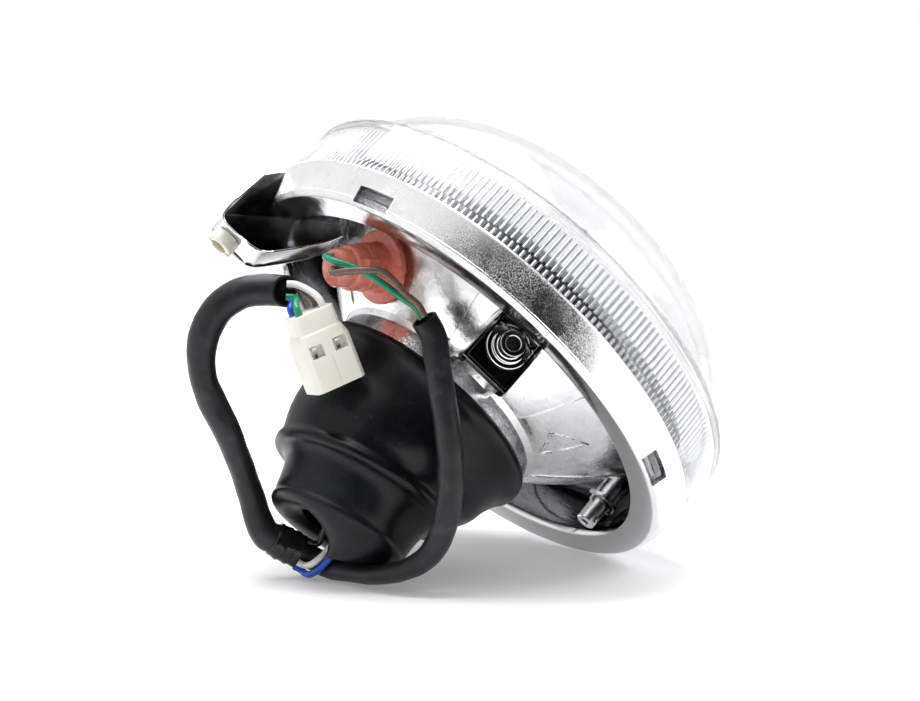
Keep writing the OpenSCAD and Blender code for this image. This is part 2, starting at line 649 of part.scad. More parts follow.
// Holder pushed into the bowl: stem, flange and stepped body
module position_holder() {
  color([0.78, 0.42, 0.4]) on_bowl(holder_angle, holder_reach) difference() {
    union() {
      translate([0, 0, -holder_stem]) cylinder(r = holder_r - 0.1, h = holder_stem + 1.4, $fn = small_fn);
      translate([0, 0, 0.9]) cylinder(r = holder_flange_r, h = holder_flange_t - 0.9, $fn = small_fn);
      translate([0, 0, holder_flange_t - 0.2]) cylinder(r = holder_r, h = 6.2, $fn = small_fn);
      translate([0, 0, holder_flange_t + 5.8]) cylinder(r = holder_r - 1.3, h = 5, $fn = small_fn);
      translate([0, 0, holder_flange_t + 10.6])
        cylinder(r = holder_r - 2.4, h = holder_l - holder_flange_t - 10.6, $fn = small_fn);
    }
    translate([0, 0, -holder_stem - 1]) cylinder(r = glow_r + 0.2, h = 9, $fn = small_fn);
  }
}

// Carries a piece drawn along +Z from the base of the wedge bulb, pointing into the bowl
module at_wedge_base() {
  on_bowl(holder_angle, holder_reach) translate([0, 0, 4.6 - holder_stem]) mirror([0, 0, 1]) children();
}

module position_bulb() {
  color([0.9, 0.93, 0.96, 0.5]) at_wedge_base()
    difference() {
      union() {
        cylinder(r = glow_r, h = glow_l - glow_r, $fn = small_fn);
        translate([0, 0, glow_l - glow_r]) sphere(r = glow_r, $fn = small_fn);
      }
      translate([0, 0, 5]) cylinder(r = glow_r - 0.9, h = glow_l - glow_r - 5, $fn = small_fn);
      translate([0, 0, glow_l - glow_r]) sphere(r = glow_r - 0.9, $fn = small_fn);
    }
}

module position_filament() {
  color([0.5, 0.48, 0.45]) at_wedge_base() {
    for (x = [-2, 2]) translate([x, 0, 5]) cylinder(r = 0.25, h = 8, $fn = 16);
    translate([-2, 0, 13]) rotate([0, 90, 0]) cylinder(r = 0.4, h = 4, $fn = 16);
  }
}

// Nylon nut snapped into the rear wall of the arm
module adjuster_nut() {
  color([0.9, 0.89, 0.84]) backwards(arm_back) translate([0, -nut_z, 0]) difference() {
    union() {
      cylinder(r = nut_r, h = 4, $fn = small_fn);
      translate([0, 0, -arm_wall - 1.6]) cylinder(r = arm_slot_r - 0.15, h = arm_wall + 2, $fn = small_fn);
      translate([0, 0, -arm_wall - 2.2]) cylinder(r = arm_slot_r + 0.2, h = 0.8, $fn = small_fn);
    }
    translate([0, 0, -6]) cylinder(r = nut_bore_r + 0.55, h = 12, $fn = small_fn);
    translate([-0.6, -6, 2.4]) cube([1.2, 12, 3]);
  }
}

// Brass thread pressed into the nut
module adjuster_insert() {
  color([0.8, 0.65, 0.35]) backwards(arm_back) translate([0, -nut_z, -3]) difference() {
    cylinder(r = nut_bore_r + 0.5, h = 5.4, $fn = small_fn);
    translate([0, 0, -1]) cylinder(r = nut_bore_r, h = 8, $fn = small_fn);
  }
}

module position_wire_green() {
  color([0.05, 0.55, 0.35]) tube_along(green_route, wire_d, 8);
}

module position_wire_brown() {
  color([0.43, 0.33, 0.3]) tube_along(brown_route, wire_d, 8);
}

module position_sleeve() {
  color([0.25, 0.25, 0.26]) tube_along(position_sleeve_route, sleeve_d, 10);
}

module connector_sleeve() {
  color([0.25, 0.25, 0.26]) tube_along(connector_sleeve_route, wide_sleeve_d, 10);
}

module junction_tape() {
  color([0.06, 0.06, 0.07]) tube_along([tape_start, tape_end], wide_sleeve_d + 1.8, 12);
}

module bulb_wire_white() {
  color([0.92, 0.92, 0.9]) tube_along(white_route, wire_d, 8);
}

module bulb_wire_blue() {
  color([0.1, 0.3, 0.75]) tube_along(blue_route, wire_d, 8);
}

module bulb_wire_black() {
  color([0.08, 0.08, 0.09]) tube_along(black_route, wire_d, 8);
}

module connector_wire_white() {
  color([0.92, 0.92, 0.9]) tube_along(stub(plug_column, -plug_row, [0.8, -1.7, 0.8]), wire_d, 8);
}

module connector_wire_blue() {
  color([0.1, 0.3, 0.75]) tube_along(stub(plug_column, plug_row, [1.6, 1, -1.5]), wire_d, 8);
}

module connector_wire_green() {
  color([0.05, 0.55, 0.35]) tube_along(stub(-plug_column, plug_row, [-0.8, 1.7, -0.8]), wire_d, 8);
}

module connector_wire_brown() {
  color([0.43, 0.33, 0.3]) tube_along(stub(-plug_column, -plug_row, [-1.6, -1, 1.5]), wire_d, 8);
}

// Carries a piece drawn with its mating end at -Z into the place of the connector
module at_plug() {
  at_joint() translate(plug_at) rotate(plug_turn) children();
}

module connector_housing() {
  color([0.93, 0.92, 0.87]) at_plug() difference() {
    union() {
      plug_block(plug_t, plug_w, -plug_l / 2, plug_l - plug_neck_l, 1.6);
      plug_block(plug_t - 2, plug_neck_w, plug_l / 2 - plug_neck_l - 0.4, plug_neck_l + 0.4, 1);
    }
    translate([-plug_t / 2 + plug_wall, -plug_w / 2 + plug_wall, -plug_l / 2 - 1])
      cube([plug_t - 2 * plug_wall, plug_w - 2 * plug_wall, plug_cavity + 1]);
    for (y = [-1, 1]) translate([-plug_t / 2 - 1, y * plug_row - 2, -1.5]) cube([3.4, 4, 3.6]);
    for (x = [-1, 1]) for (y = [-1, 1]) translate([x * plug_column, y * plug_row, -3])
      cylinder(r = plug_hole_r, h = plug_l, $fn = 16);
  }
}

// Block with its four long edges cut off at 45 degrees
module plug_block(t, w, z, l, edge) {
  translate([0, 0, z]) linear_extrude(l)
    polygon([[-t / 2 + edge, -w / 2], [t / 2 - edge, -w / 2], [t / 2, -w / 2 + edge], [t / 2, w / 2 - edge],
             [t / 2 - edge, w / 2], [-t / 2 + edge, w / 2], [-t / 2, w / 2 - edge], [-t / 2, -w / 2 + edge]]);
}

module connector_terminals() {
  color([0.85, 0.78, 0.5]) at_plug() for (x = [-1, 1]) for (y = [-1, 1])
    translate([x * plug_column - 0.4, y * plug_row - plug_hole_r + 0.1, -plug_l / 2 + 5])
      cube([0.8, 2 * plug_hole_r - 0.2, 9]);
}

lens();
lens_sealant();
lamp_housing();
bulb_seat_ring();
seat_screws();
bulb_spring_clip();
main_bulb_cap();
main_bulb_glass();
main_bulb_filaments();
main_bulb_blades();
bulb_plug();
rubber_boot();
position_holder();
position_bulb();
position_filament();
adjuster_nut();
adjuster_insert();
position_wire_green();
position_wire_brown();
position_sleeve();
connector_sleeve();
junction_tape();
bulb_wire_white();
bulb_wire_blue();
bulb_wire_black();
connector_wire_white();
connector_wire_blue();
connector_wire_green();
connector_wire_brown();
connector_housing();
connector_terminals();
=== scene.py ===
import json
import math
import bpy
import bmesh
from mathutils import Matrix, Vector, noise

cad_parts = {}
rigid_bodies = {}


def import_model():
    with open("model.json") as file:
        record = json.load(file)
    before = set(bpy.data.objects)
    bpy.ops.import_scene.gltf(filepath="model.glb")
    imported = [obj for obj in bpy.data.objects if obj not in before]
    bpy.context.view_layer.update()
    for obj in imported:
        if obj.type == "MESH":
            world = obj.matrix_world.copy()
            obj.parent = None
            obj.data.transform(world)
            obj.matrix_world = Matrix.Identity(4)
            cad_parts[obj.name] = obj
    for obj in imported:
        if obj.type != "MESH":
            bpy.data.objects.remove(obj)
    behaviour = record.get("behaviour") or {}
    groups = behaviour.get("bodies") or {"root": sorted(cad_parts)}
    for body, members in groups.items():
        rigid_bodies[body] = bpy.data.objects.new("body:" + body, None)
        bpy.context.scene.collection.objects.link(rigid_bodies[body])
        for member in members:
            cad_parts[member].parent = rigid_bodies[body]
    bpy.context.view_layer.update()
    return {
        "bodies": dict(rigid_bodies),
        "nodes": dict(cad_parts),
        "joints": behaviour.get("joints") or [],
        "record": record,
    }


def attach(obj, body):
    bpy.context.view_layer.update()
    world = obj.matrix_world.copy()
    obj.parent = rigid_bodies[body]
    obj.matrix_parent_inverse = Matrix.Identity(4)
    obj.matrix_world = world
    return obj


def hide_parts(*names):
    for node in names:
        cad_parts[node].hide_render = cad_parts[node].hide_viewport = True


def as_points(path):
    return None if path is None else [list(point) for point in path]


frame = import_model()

# Drawn in millimetres from the joint of rim and lens, then carried to the frame
pivotBehindJoint = 14.8


def toFrame(p):
    return (p[0] / 1000, (p[1] - pivotBehindJoint) / 1000, p[2] / 1000)


# where the photograph was taken from, in metres and in the frame
view = {
    "place": (-0.55195, 0.20437, 0.04901),
    "right": (-0.304852, -0.620718, -0.722339),
    "up": (-0.218237, -0.692733, 0.687377),
    "towards": (-0.92706, 0.36719, 0.07572),  # from the lamp to the camera
    "lens": 78.26,
    "sensor": 36,
    "nearest": 0.01,
    "floorUp": (-0.295046, -0.659578, 0.691306),
    "floorAt": -62.35,  # mm along floorUp, measured like the shapes
    "floorSize": (0.2, 1.6, 1.2),  # near edge, far edge, half width; mirrors see past the near edge
}


def linked(name, data):
    made = bpy.data.objects.new(name, data)
    bpy.context.scene.collection.objects.link(made)
    return made


def addCamera(s):
    right = Vector(s["right"]).normalized()
    up = Vector(s["up"]).normalized()
    back = right.cross(up)
    data = bpy.data.cameras.new("camera")
    data.lens = s["lens"]
    data.sensor_width = s["sensor"]
    data.clip_start = s["nearest"]
    camera = linked("camera", data)
    turn = Matrix((right, up, back)).transposed().to_4x4()
    camera.matrix_world = Matrix.Translation(s["place"]) @ turn
    bpy.context.scene.camera = camera


addCamera(view)
bpy.context.scene.view_settings.view_transform = "Standard"
print("camera placed")


def addNode(tree, kind, **values):
    made = tree.nodes.new("ShaderNode" + kind)
    for key, value in values.items():
        if hasattr(made, key):
            setattr(made, key, value)
        else:
            made.inputs[key.replace("_", " ")].default_value = value
    return made


def mathOf(tree, how, a, b):
    made = addNode(tree, "Math", operation=how)
    for slot, value in enumerate((a, b)):
        if isinstance(value, (int, float)):
            made.inputs[slot].default_value = value
        else:
            tree.links.new(value, made.inputs[slot])
    return made.outputs[0]


def timesOf(tree, a, b):
    return mathOf(tree, "MULTIPLY", a, b)


def sumOf(tree, first, *more):
    for value in more:
        first = mathOf(tree, "ADD", first, value)
    return first


def rampOf(tree, value, low, high, toLow=0.0, toHigh=1.0):
    made = addNode(tree, "MapRange", interpolation_type="SMOOTHSTEP", From_Min=low, From_Max=high,
                   To_Min=toLow, To_Max=toHigh)
    tree.links.new(value, made.inputs["Value"])
    return made.outputs["Result"]


def mixOf(tree, factor, a, b, how="MIX"):
    made = addNode(tree, "Mix", data_type="RGBA", blend_type=how)
    for slot, value in ((0, factor), (6, a), (7, b)):
        if isinstance(value, (int, float)):
            made.inputs[slot].default_value = value
        elif isinstance(value, tuple):
            made.inputs[slot].default_value = (*value, 1)
        else:
            tree.links.new(value, made.inputs[slot])
    return made.outputs[2]


studio = {
    "plain": 0.7,  # light from all round
    # the unlit room behind the camera, seen only in mirrors: direction, degrees of full dark, degrees to white
    "darkSpots": (((-0.965, 0.16, 0.04), 25, 54), ((-0.93, -0.36, -0.02), 20, 33)),
    "mirrorBlack": 0.012,
    "mirrorWhite": 0.91,
    # each lamp: height over the lamp's middle, shift from there, side of the square, power
    "lamps": {"overheadLight": (0.75, (0.05, 0.02, 0.0), 0.7, 9.0),
              "sideLight": (0.5, (-0.4, -0.95, -0.7), 0.6, 6.3)},
    "paper": (0.86, 0.86, 0.87, 1),
    "paperGlow": (0.16, 0.55, 0.2, 0.5),  # from and to a distance, from and to a strength
}


def buildStudio(s, v):
    world = bpy.data.worlds.new("studio")
    bpy.context.scene.world = world
    world.use_nodes = True
    tree = world.node_tree
    tree.nodes.clear()
    out = addNode(tree, "OutputWorld")
    sky = addNode(tree, "Background", Color=(1, 1, 1, 1))
    spot = addNode(tree, "TexCoord").outputs["Generated"]
    lit = s["mirrorWhite"]
    for towards, dark, bright in s["darkSpots"]:
        dot = addNode(tree, "VectorMath", operation="DOT_PRODUCT")
        tree.links.new(spot, dot.inputs[0])
        dot.inputs[1].default_value = Vector(towards).normalized()
        near = rampOf(tree, dot.outputs["Value"], math.cos(math.radians(bright)), math.cos(math.radians(dark)),
                      1.0, s["mirrorBlack"])
        lit = timesOf(tree, near, lit)
    path = addNode(tree, "LightPath")
    glossy = mathOf(tree, "MAXIMUM", path.outputs["Is Glossy Ray"], path.outputs["Is Transmission Ray"])
    seen = path.outputs["Is Camera Ray"]
    # white to the camera, the room to mirrors and clear plastic, a plain level for the rest
    forMirror = timesOf(tree, glossy, lit)
    plain = mathOf(tree, "SUBTRACT", 1.0, mathOf(tree, "MAXIMUM", glossy, seen))
    level = sumOf(tree, timesOf(tree, plain, s["plain"]), mathOf(tree, "MAXIMUM", seen, forMirror))
    tree.links.new(level, sky.inputs["Strength"])
    tree.links.new(sky.outputs[0], out.inputs[0])
    up = Vector(v["floorUp"]).normalized()
    for name, (height, shift, size, power) in s["lamps"].items():
        data = bpy.data.lights.new(name, "AREA")
        data.shape = "SQUARE"
        data.size = size
        data.energy = power
        place = up * height + Vector(shift)
        lamp = linked(name, data)
        lamp.location = place
        lamp.rotation_euler = (-place).to_track_quat("-Z", "Y").to_euler()


def buildFloor(s, v):
    up = Vector(v["floorUp"]).normalized()
    # the plane is given in drawing millimetres, so its distance is moved with the drawing origin
    at = up * ((v["floorAt"] - up.y * pivotBehindJoint) / 1000)
    away = up.cross(Vector(v["right"])).normalized()
    across = up.cross(away)
    near, far, half = v["floorSize"]
    corners = [at + away * x + across * y
               for x, y in ((-near, -half), (far, -half), (far, half), (-near, half))]
    mesh = bpy.data.meshes.new("floor")
    mesh.from_pydata(corners, [], [(0, 1, 2, 3)])
    if mesh.polygons[0].normal.dot(up) < 0:
        mesh.flip_normals()
    floor = linked("floor", mesh)
    paper = bpy.data.materials.new("white_paper")
    paper.use_nodes = True
    tree = paper.node_tree
    tree.nodes.clear()
    out = addNode(tree, "OutputMaterial")
    matt = addNode(tree, "BsdfDiffuse", Color=s["paper"])
    glow = addNode(tree, "Emission", Color=(1, 1, 1, 1))
    path = addNode(tree, "LightPath")
    seen = mathOf(tree, "MAXIMUM", path.outputs["Is Camera Ray"], path.outputs["Is Glossy Ray"])
    seen = mathOf(tree, "MAXIMUM", seen, path.outputs["Is Transmission Ray"])
    # painted light: the paper glows more away from the lamp, standing in for a sweep lit from above
    far = addNode(tree, "VectorMath", operation="LENGTH")
    tree.links.new(addNode(tree, "TexCoord").outputs["Object"], far.inputs[0])
    glowing = rampOf(tree, far.outputs["Value"], *s["paperGlow"])
    tree.links.new(timesOf(tree, seen, glowing), glow.inputs["Strength"])
    both = addNode(tree, "AddShader")
    tree.links.new(matt.outputs[0], both.inputs[0])
    tree.links.new(glow.outputs[0], both.inputs[1])
    clear = addNode(tree, "BsdfTransparent")
    choose = addNode(tree, "MixShader")
    tree.links.new(addNode(tree, "NewGeometry").outputs["Backfacing"], choose.inputs[0])
    tree.links.new(both.outputs[0], choose.inputs[1])
    tree.links.new(clear.outputs[0], choose.inputs[2])
    tree.links.new(choose.outputs[0], out.inputs[0])
    mesh.materials.append(paper)


buildStudio(studio, view)
buildFloor(studio, view)
print("studio and floor done")


def newFinish(name, colour, roughness, **sockets):
    made = bpy.data.materials.new(name)
    made.use_nodes = True
    tree = made.node_tree
    shader = tree.nodes["Principled BSDF"]
    shader.inputs["Base Color"].default_value = (*colour, 1)
    shader.inputs["Roughness"].default_value = roughness
    for key, value in sockets.items():
        shader.inputs[key.replace("_", " ")].default_value = value
    return made, tree, shader


def objectNoise(tree, scale, detail=3.0, stretch=None, roughness=0.55):
    made = addNode(tree, "TexNoise", Scale=scale, Detail=detail, Roughness=roughness)
    spot = addNode(tree, "TexCoord").outputs["Object"]
    if stretch:
        squeeze = addNode(tree, "Mapping")
        squeeze.inputs["Scale"].default_value = stretch
        tree.links.new(spot, squeeze.inputs["Vector"])
        spot = squeeze.outputs[0]
    tree.links.new(spot, made.inputs["Vector"])
    return made.outputs["Fac"]


def patches(tree, scale, detail, low, high, toLow=0.0, toHigh=1.0, roughness=0.55):
    # noise drawn out between two of its levels
    return rampOf(tree, objectNoise(tree, scale, detail, roughness=roughness), low, high, toLow, toHigh)


def addBump(tree, shader, height, strength, distance, under=None):
    made = addNode(tree, "Bump", Strength=strength, Distance=distance)
    tree.links.new(height, made.inputs["Height"])
    if under:
        tree.links.new(under, made.inputs["Normal"])
    tree.links.new(made.outputs[0], shader.inputs["Normal"])
    return made.outputs[0]


def dress(tree, shader, tone, rough):
    tree.links.new(tone, shader.inputs["Base Color"])
    tree.links.new(rough, shader.inputs["Roughness"])


def plasticFinish(name, s):
    # colour drifts a little, fine dust dulls it, a moulded skin breaks the shine
    made, tree, shader = newFinish(name, s["colour"], s["rough"], **s.get("sockets", {}))
    drift = patches(tree, s.get("drift", 60), 3, 0.35, 0.68)
    dust = patches(tree, s.get("dustScale", 420), 5, 0.5, 0.78)
    tone = mixOf(tree, drift, s["colour"], s.get("shade", tuple(c * 0.86 for c in s["colour"])))
    tone = mixOf(tree, timesOf(tree, dust, s.get("dust", 0.12)), tone, s.get("dustColour", (0.6, 0.6, 0.6)))
    dress(tree, shader, tone, patches(tree, 140, 4, 0.3, 0.75, s["rough"] - 0.06, s["rough"] + 0.12))
    addBump(tree, shader, objectNoise(tree, s.get("skin", 1600), 2), s.get("bump", 0.12), 0.0002)
    return made


def metalFinish(name, s):
    made, tree, shader = newFinish(name, s["colour"], s["rough"], Metallic=1.0)
    worn = patches(tree, 260, 5, 0.45, 0.72)
    tone = mixOf(tree, worn, s["colour"], s.get("shade", tuple(c * 0.7 for c in s["colour"])))
    dress(tree, shader, tone, patches(tree, 500, 3, 0.3, 0.7, s["rough"] * 0.7, s["rough"] * 1.35))
    addBump(tree, shader, objectNoise(tree, 2400, 3, s.get("stretch")), 0.15, 0.0002)
    return made


metalFilm = {
    "bright": (0.93, 0.93, 0.94), "worn": (0.55, 0.545, 0.54), "stained": (0.3, 0.3, 0.31),
    # "thin" is the colour of the painted shade
    "thin": (0.07, 0.07, 0.075),
    "grainRough": 0.5, "hazyRough": 0.2, "sandyRough": 0.14,
}


def mirrorFinish(s):
    # vacuum-metallised moulding. Attributes on the mesh: "sandy" is the grained band, "hazy" the dull bowl,
    # and the third one is painted shade: dark in the gutter, the lens channel and inside the arm, lighter on the
    # rim's rear face
    made, tree, shader = newFinish("metallised", s["bright"], 0.1, Metallic=1.0)
    sandy, hazy, paintedShade = (addNode(tree, "Attribute", attribute_name=n).outputs["Fac"]
                          for n in ("sandy", "hazy", "paintedShade"))
    grain = patches(tree, 3300, 2, 0.46, 0.66)
    patch = patches(tree, 70, 4, 0.36, 0.62, 0.12, 1.0)
    speckle = timesOf(tree, timesOf(tree, grain, patch), sandy)
    blotch = timesOf(tree, patches(tree, 110, 6, 0.56, 0.64, roughness=0.7), sandy)
    cloud = patches(tree, 36, 4, 0.4, 0.75, 0.0, 0.12)
    mottle = timesOf(tree, patches(tree, 120, 5, 0.42, 0.72), timesOf(tree, hazy, 0.3))
    tone = mixOf(tree, sumOf(tree, cloud, mottle), s["bright"], s["worn"])
    tone = mixOf(tree, timesOf(tree, blotch, 0.1), tone, s["stained"])
    # painted shade darkens the film wherever the mesh attribute asks for it
    tone = mixOf(tree, paintedShade, tone, s["thin"])
    fine = patches(tree, 210, 4, 0.35, 0.7, 0.04, 0.1)
    dress(tree, shader, tone, sumOf(tree, fine, timesOf(tree, speckle, s["grainRough"]),
                                    timesOf(tree, hazy, s["hazyRough"]), timesOf(tree, sandy, s["sandyRough"])))
    ripple = addBump(tree, shader, objectNoise(tree, 150, 2), 0.12, 0.0004)
    worn = addBump(tree, shader, timesOf(tree, hazy, objectNoise(tree, 420, 4)), 0.35, 0.0004, ripple)
    addBump(tree, shader, speckle, 0.35, 0.00005, worn)
    return made


def clearFinish(name, s):
    # "solid" under 1 lets part of the light straight through
    made, tree, shader = newFinish(name, s["tint"], s["rough"], Transmission_Weight=1.0, IOR=s["bend"],
                                   Alpha=s.get("solid", 1.0))
    tone = mixOf(tree, timesOf(tree, patches(tree, 45, 4, 0.4, 0.75), 0.25), s["tint"], s["haze"])
    dress(tree, shader, tone, patches(tree, 300, 4, 0.45, 0.8, s["rough"], s["rough"] + 0.05))
    addBump(tree, shader, objectNoise(tree, 40, 1), 0.015, 0.0003)
    return made


def ribFinish():
    # each rib works as a prism and throws the room back, so it mirrors as well as letting light by
    made, tree, shader = newFinish("lens_rib", (0.9, 0.91, 0.93), 0.16, Metallic=0.82, Transmission_Weight=1.0)
    tone = mixOf(tree, patches(tree, 60, 3, 0.35, 0.7), (0.82, 0.83, 0.85), (0.7, 0.71, 0.74))
    dress(tree, shader, tone, patches(tree, 500, 3, 0.3, 0.7, 0.1, 0.22))
    return made


rubber = {"colour": (0.01, 0.0105, 0.012), "black": (0.003, 0.0032, 0.004), "bloom": (0.012, 0.0138, 0.019),
          "dust": (0.28, 0.29, 0.31), "shine": 0.24}


def rubberFinish(s):
    # nearly black rubber with a bluish bloom, a trace of dust and faint mould flow lines
    made, tree, shader = newFinish("boot_rubber", s["colour"], 0.36, Specular_IOR_Level=s["shine"])
    bloom = patches(tree, 48, 5, 0.42, 0.7, roughness=0.62)
    tone = mixOf(tree, timesOf(tree, bloom, 0.55), s["black"], s["bloom"])
    tone = mixOf(tree, timesOf(tree, patches(tree, 900, 4, 0.6, 0.75), 0.05), tone, s["dust"])
    dress(tree, shader, tone, rampOf(tree, bloom, 0, 1, 0.3, 0.46))
    flow = addBump(tree, shader, objectNoise(tree, 90, 3, (0.4, 2.4, 0.4)), 0.16, 0.0006)
    addBump(tree, shader, objectNoise(tree, 2200, 3), 0.2, 0.0001, flow)
    return made


vinyl = {"colour": (0.02, 0.02, 0.022), "dark": (0.01, 0.0102, 0.0115), "grey": (0.02, 0.0205, 0.023),
         "scuff": (0.3, 0.3, 0.31), "shine": 0.3, "drawLines": (26, 0.12, 1)}


def sleeveFinish(s):
    # soft vinyl tube with lengthwise draw lines that follow the piece's UV map
    made, tree, shader = newFinish("sleeve_grey", s["colour"], 0.34, Specular_IOR_Level=s["shine"])
    lines = addNode(tree, "TexNoise", Scale=1.0, Detail=3.0)
    squeeze = addNode(tree, "Mapping")
    squeeze.inputs["Scale"].default_value = s["drawLines"]
    tree.links.new(addNode(tree, "UVMap", uv_map="along").outputs[0], squeeze.inputs["Vector"])
    tree.links.new(squeeze.outputs[0], lines.inputs["Vector"])
    tone = mixOf(tree, patches(tree, 40, 3, 0.35, 0.7), s["dark"], s["grey"])
    tone = mixOf(tree, timesOf(tree, patches(tree, 260, 5, 0.52, 0.74), 0.05), tone, s["scuff"])
    dress(tree, shader, tone, patches(tree, 170, 4, 0.3, 0.72, 0.3, 0.5))
    drawn = addBump(tree, shader, lines.outputs["Fac"], 0.16, 0.0002)
    addBump(tree, shader, objectNoise(tree, 1500, 3), 0.1, 0.0001, drawn)
    return made


def glowingPink():
    # light goes a little way into the soft plastic
    made, tree, shader = newFinish("holder_pink", (0.8, 0.25, 0.2), 0.3, Subsurface_Weight=0.3,
                                   Subsurface_Scale=0.003, Subsurface_Radius=(1.0, 0.3, 0.25),
                                   Transmission_Weight=0.08)
    tone = mixOf(tree, patches(tree, 90, 3, 0.35, 0.7), (0.84, 0.21, 0.14), (0.74, 0.27, 0.23))
    dress(tree, shader, tone, patches(tree, 400, 3, 0.35, 0.7, 0.2, 0.36))
    addBump(tree, shader, objectNoise(tree, 300, 2), 0.03, 0.0001)
    return made


def wireFinish(name, colour, shade):
    return plasticFinish(name, {"colour": colour, "shade": shade, "rough": 0.24, "drift": 220, "dustScale": 900,
                                "dust": 0.1, "skin": 2400, "bump": 0.08})


finishes = {
    "metallised": mirrorFinish(metalFilm),
    "lens_rib": ribFinish(),
    "boot_rubber": rubberFinish(rubber),
    "sleeve_grey": sleeveFinish(vinyl),
    "holder_pink": glowingPink(),
}
clearOnes = {
    "lens_clear": {"tint": (0.97, 0.975, 0.985), "haze": (0.9, 0.905, 0.925), "rough": 0.03, "bend": 1.4,
                   "solid": 0.75},
    "bulb_glass": {"tint": (0.98, 0.99, 1.0), "haze": (0.94, 0.95, 0.97), "rough": 0.01, "bend": 1.46},
}
plasticOnes = {
    "sealant": {"colour": (0.62, 0.62, 0.6), "rough": 0.6, "dust": 0.2, "skin": 500, "bump": 0.35},
    "natural_nylon": {"colour": (0.84, 0.83, 0.76), "shade": (0.8, 0.78, 0.69), "rough": 0.36, "dust": 0.08,
                      "drift": 90,
                      "sockets": {"Subsurface_Weight": 0.25, "Subsurface_Scale": 0.003,
                                  "Subsurface_Radius": (1.0, 0.85, 0.6)}},
    "plug_dark": {"colour": (0.02, 0.02, 0.022), "rough": 0.42, "dust": 0.06, "dustColour": (0.3, 0.3, 0.3)},
    "tape_black": {"colour": (0.009, 0.009, 0.01), "shade": (0.014, 0.014, 0.016), "rough": 0.16, "dust": 0.02,
                   "skin": 900, "bump": 0.2, "sockets": {"Specular_IOR_Level": 0.4}},
}
wireOnes = {
    "wire_white": ((0.8, 0.8, 0.78), (0.72, 0.71, 0.68)),
    "wire_blue": ((0.012, 0.075, 0.52), (0.01, 0.055, 0.4)),
    "wire_green": ((0.005, 0.27, 0.14), (0.004, 0.2, 0.105)),
    "wire_brown": ((0.17, 0.105, 0.08), (0.12, 0.072, 0.055)),
}
metalOnes = {
    "zinc_steel": {"colour": (0.68, 0.69, 0.7), "rough": 0.32},
    "spring_wire": {"colour": (0.62, 0.62, 0.6), "rough": 0.25, "stretch": (1, 1, 6)},
    "bulb_metal": {"colour": (0.72, 0.7, 0.66), "rough": 0.28},
    "tungsten": {"colour": (0.36, 0.35, 0.34), "rough": 0.4},
    "contact_brass": {"colour": (0.78, 0.6, 0.3), "rough": 0.3, "shade": (0.5, 0.36, 0.16)},
}
for make, group in ((clearFinish, clearOnes), (plasticFinish, plasticOnes), (metalFinish, metalOnes)):
    finishes.update({name: make(name, s) for name, s in group.items()})
finishes.update({name: wireFinish(name, *colours) for name, colours in wireOnes.items()})
print("finishes done")


# a shape is (points, faces) in drawing millimetres

def loft(rings, closed=True, loop=False, capStart=False, capEnd=False):
    points = [p for ring in rings for p in ring]
    n = len(rings[0])
    spans = n if closed else n - 1
    count = len(rings)
    faces = []
    for i in range(count if loop else count - 1):
        a, b = i * n, ((i + 1) % count) * n
        faces += [(a + k, a + (k + 1) % n, b + (k + 1) % n, b + k) for k in range(spans)]
    if capStart:
        faces.append(tuple(range(n)))
    if capEnd:
        faces.append(tuple(range((count - 1) * n, count * n)))
    return points, faces


def turned(profile, segments=240, closed=True):
    # each profile point is a radius and a distance behind the joint
    rings = []
    for i in range(segments):
        a = 2 * math.pi * i / segments
        rings.append([(r * math.cos(a), y, r * math.sin(a)) for r, y in profile])
    return loft(rings, closed, loop=True)


def join(*shapes):
    points, faces = [], []
    for shapePoints, shapeFaces in shapes:
        start = len(points)
        points += list(shapePoints)
        faces += [tuple(i + start for i in f) for f in shapeFaces]
    return points, faces


def moved(shape, place):
    return [place(p) for p in shape[0]], shape[1]


def roundAxis(shape, angle):
    # carried round the lamp axis
    a = math.radians(angle)
    return moved(shape, lambda p: (p[0] * math.cos(a) - p[2] * math.sin(a), p[1],
                                   p[0] * math.sin(a) + p[2] * math.cos(a)))


def spun(place, angle):
    # the same place, turned round local z first
    t = math.radians(angle)
    return lambda p: place((p[0] * math.cos(t) - p[1] * math.sin(t), p[0] * math.sin(t) + p[1] * math.cos(t), p[2]))


def shifted(place, x, y):
    return lambda p: place((p[0] + x, p[1] + y, p[2]))


def middleOf(ring):
    return sum((Vector(p) for p in ring), Vector()) / len(ring)


def toBmesh(shape):
    work = bmesh.new()
    verts = [work.verts.new(p) for p in shape[0]]
    for f in shape[1]:
        try:
            work.faces.new([verts[i] for i in f])
        except ValueError:  # the same face twice
            pass
    bmesh.ops.remove_doubles(work, verts=work.verts, dist=0.0005)
    bmesh.ops.recalc_face_normals(work, faces=work.faces)
    work.verts.index_update()
    return work


def fromBmesh(work):
    work.verts.index_update()
    shape = [v.co[:] for v in work.verts], [tuple(v.index for v in f.verts) for f in work.faces]
    work.free()
    return shape


def rounded(shape, width, segments=2, fromAngle=30):
    work = toBmesh(shape)
    least = math.radians(fromAngle)
    edges = [e for e in work.edges if len(e.link_faces) == 2 and e.calc_face_angle(0) > least]
    bmesh.ops.bevel(work, geom=edges, offset=width, segments=segments, profile=0.6, affect="EDGES",
                    clamp_overlap=True)
    return fromBmesh(work)


def slab(outline, low, high, place=lambda p: p):
    # an outline in (u, v) carried from low to high along w, then placed
    rings = [[place((u, v, w)) for u, v in outline] for w in (low, high)]
    return loft(rings, capStart=True, capEnd=True)


def block(a, b, place=lambda p: p):
    return slab([(a[0], a[1]), (b[0], a[1]), (b[0], b[1]), (a[0], b[1])], a[2], b[2], place)


def tower(profile, segments=48, place=lambda p: p, closed=False):
    # turned round local z; an open profile starts and ends on the axis
    rings = []
    for i in range(segments):
        a = 2 * math.pi * i / segments
        rings.append([place((r * math.cos(a), r * math.sin(a), z)) for r, z in profile])
    return loft(rings, closed, loop=True)


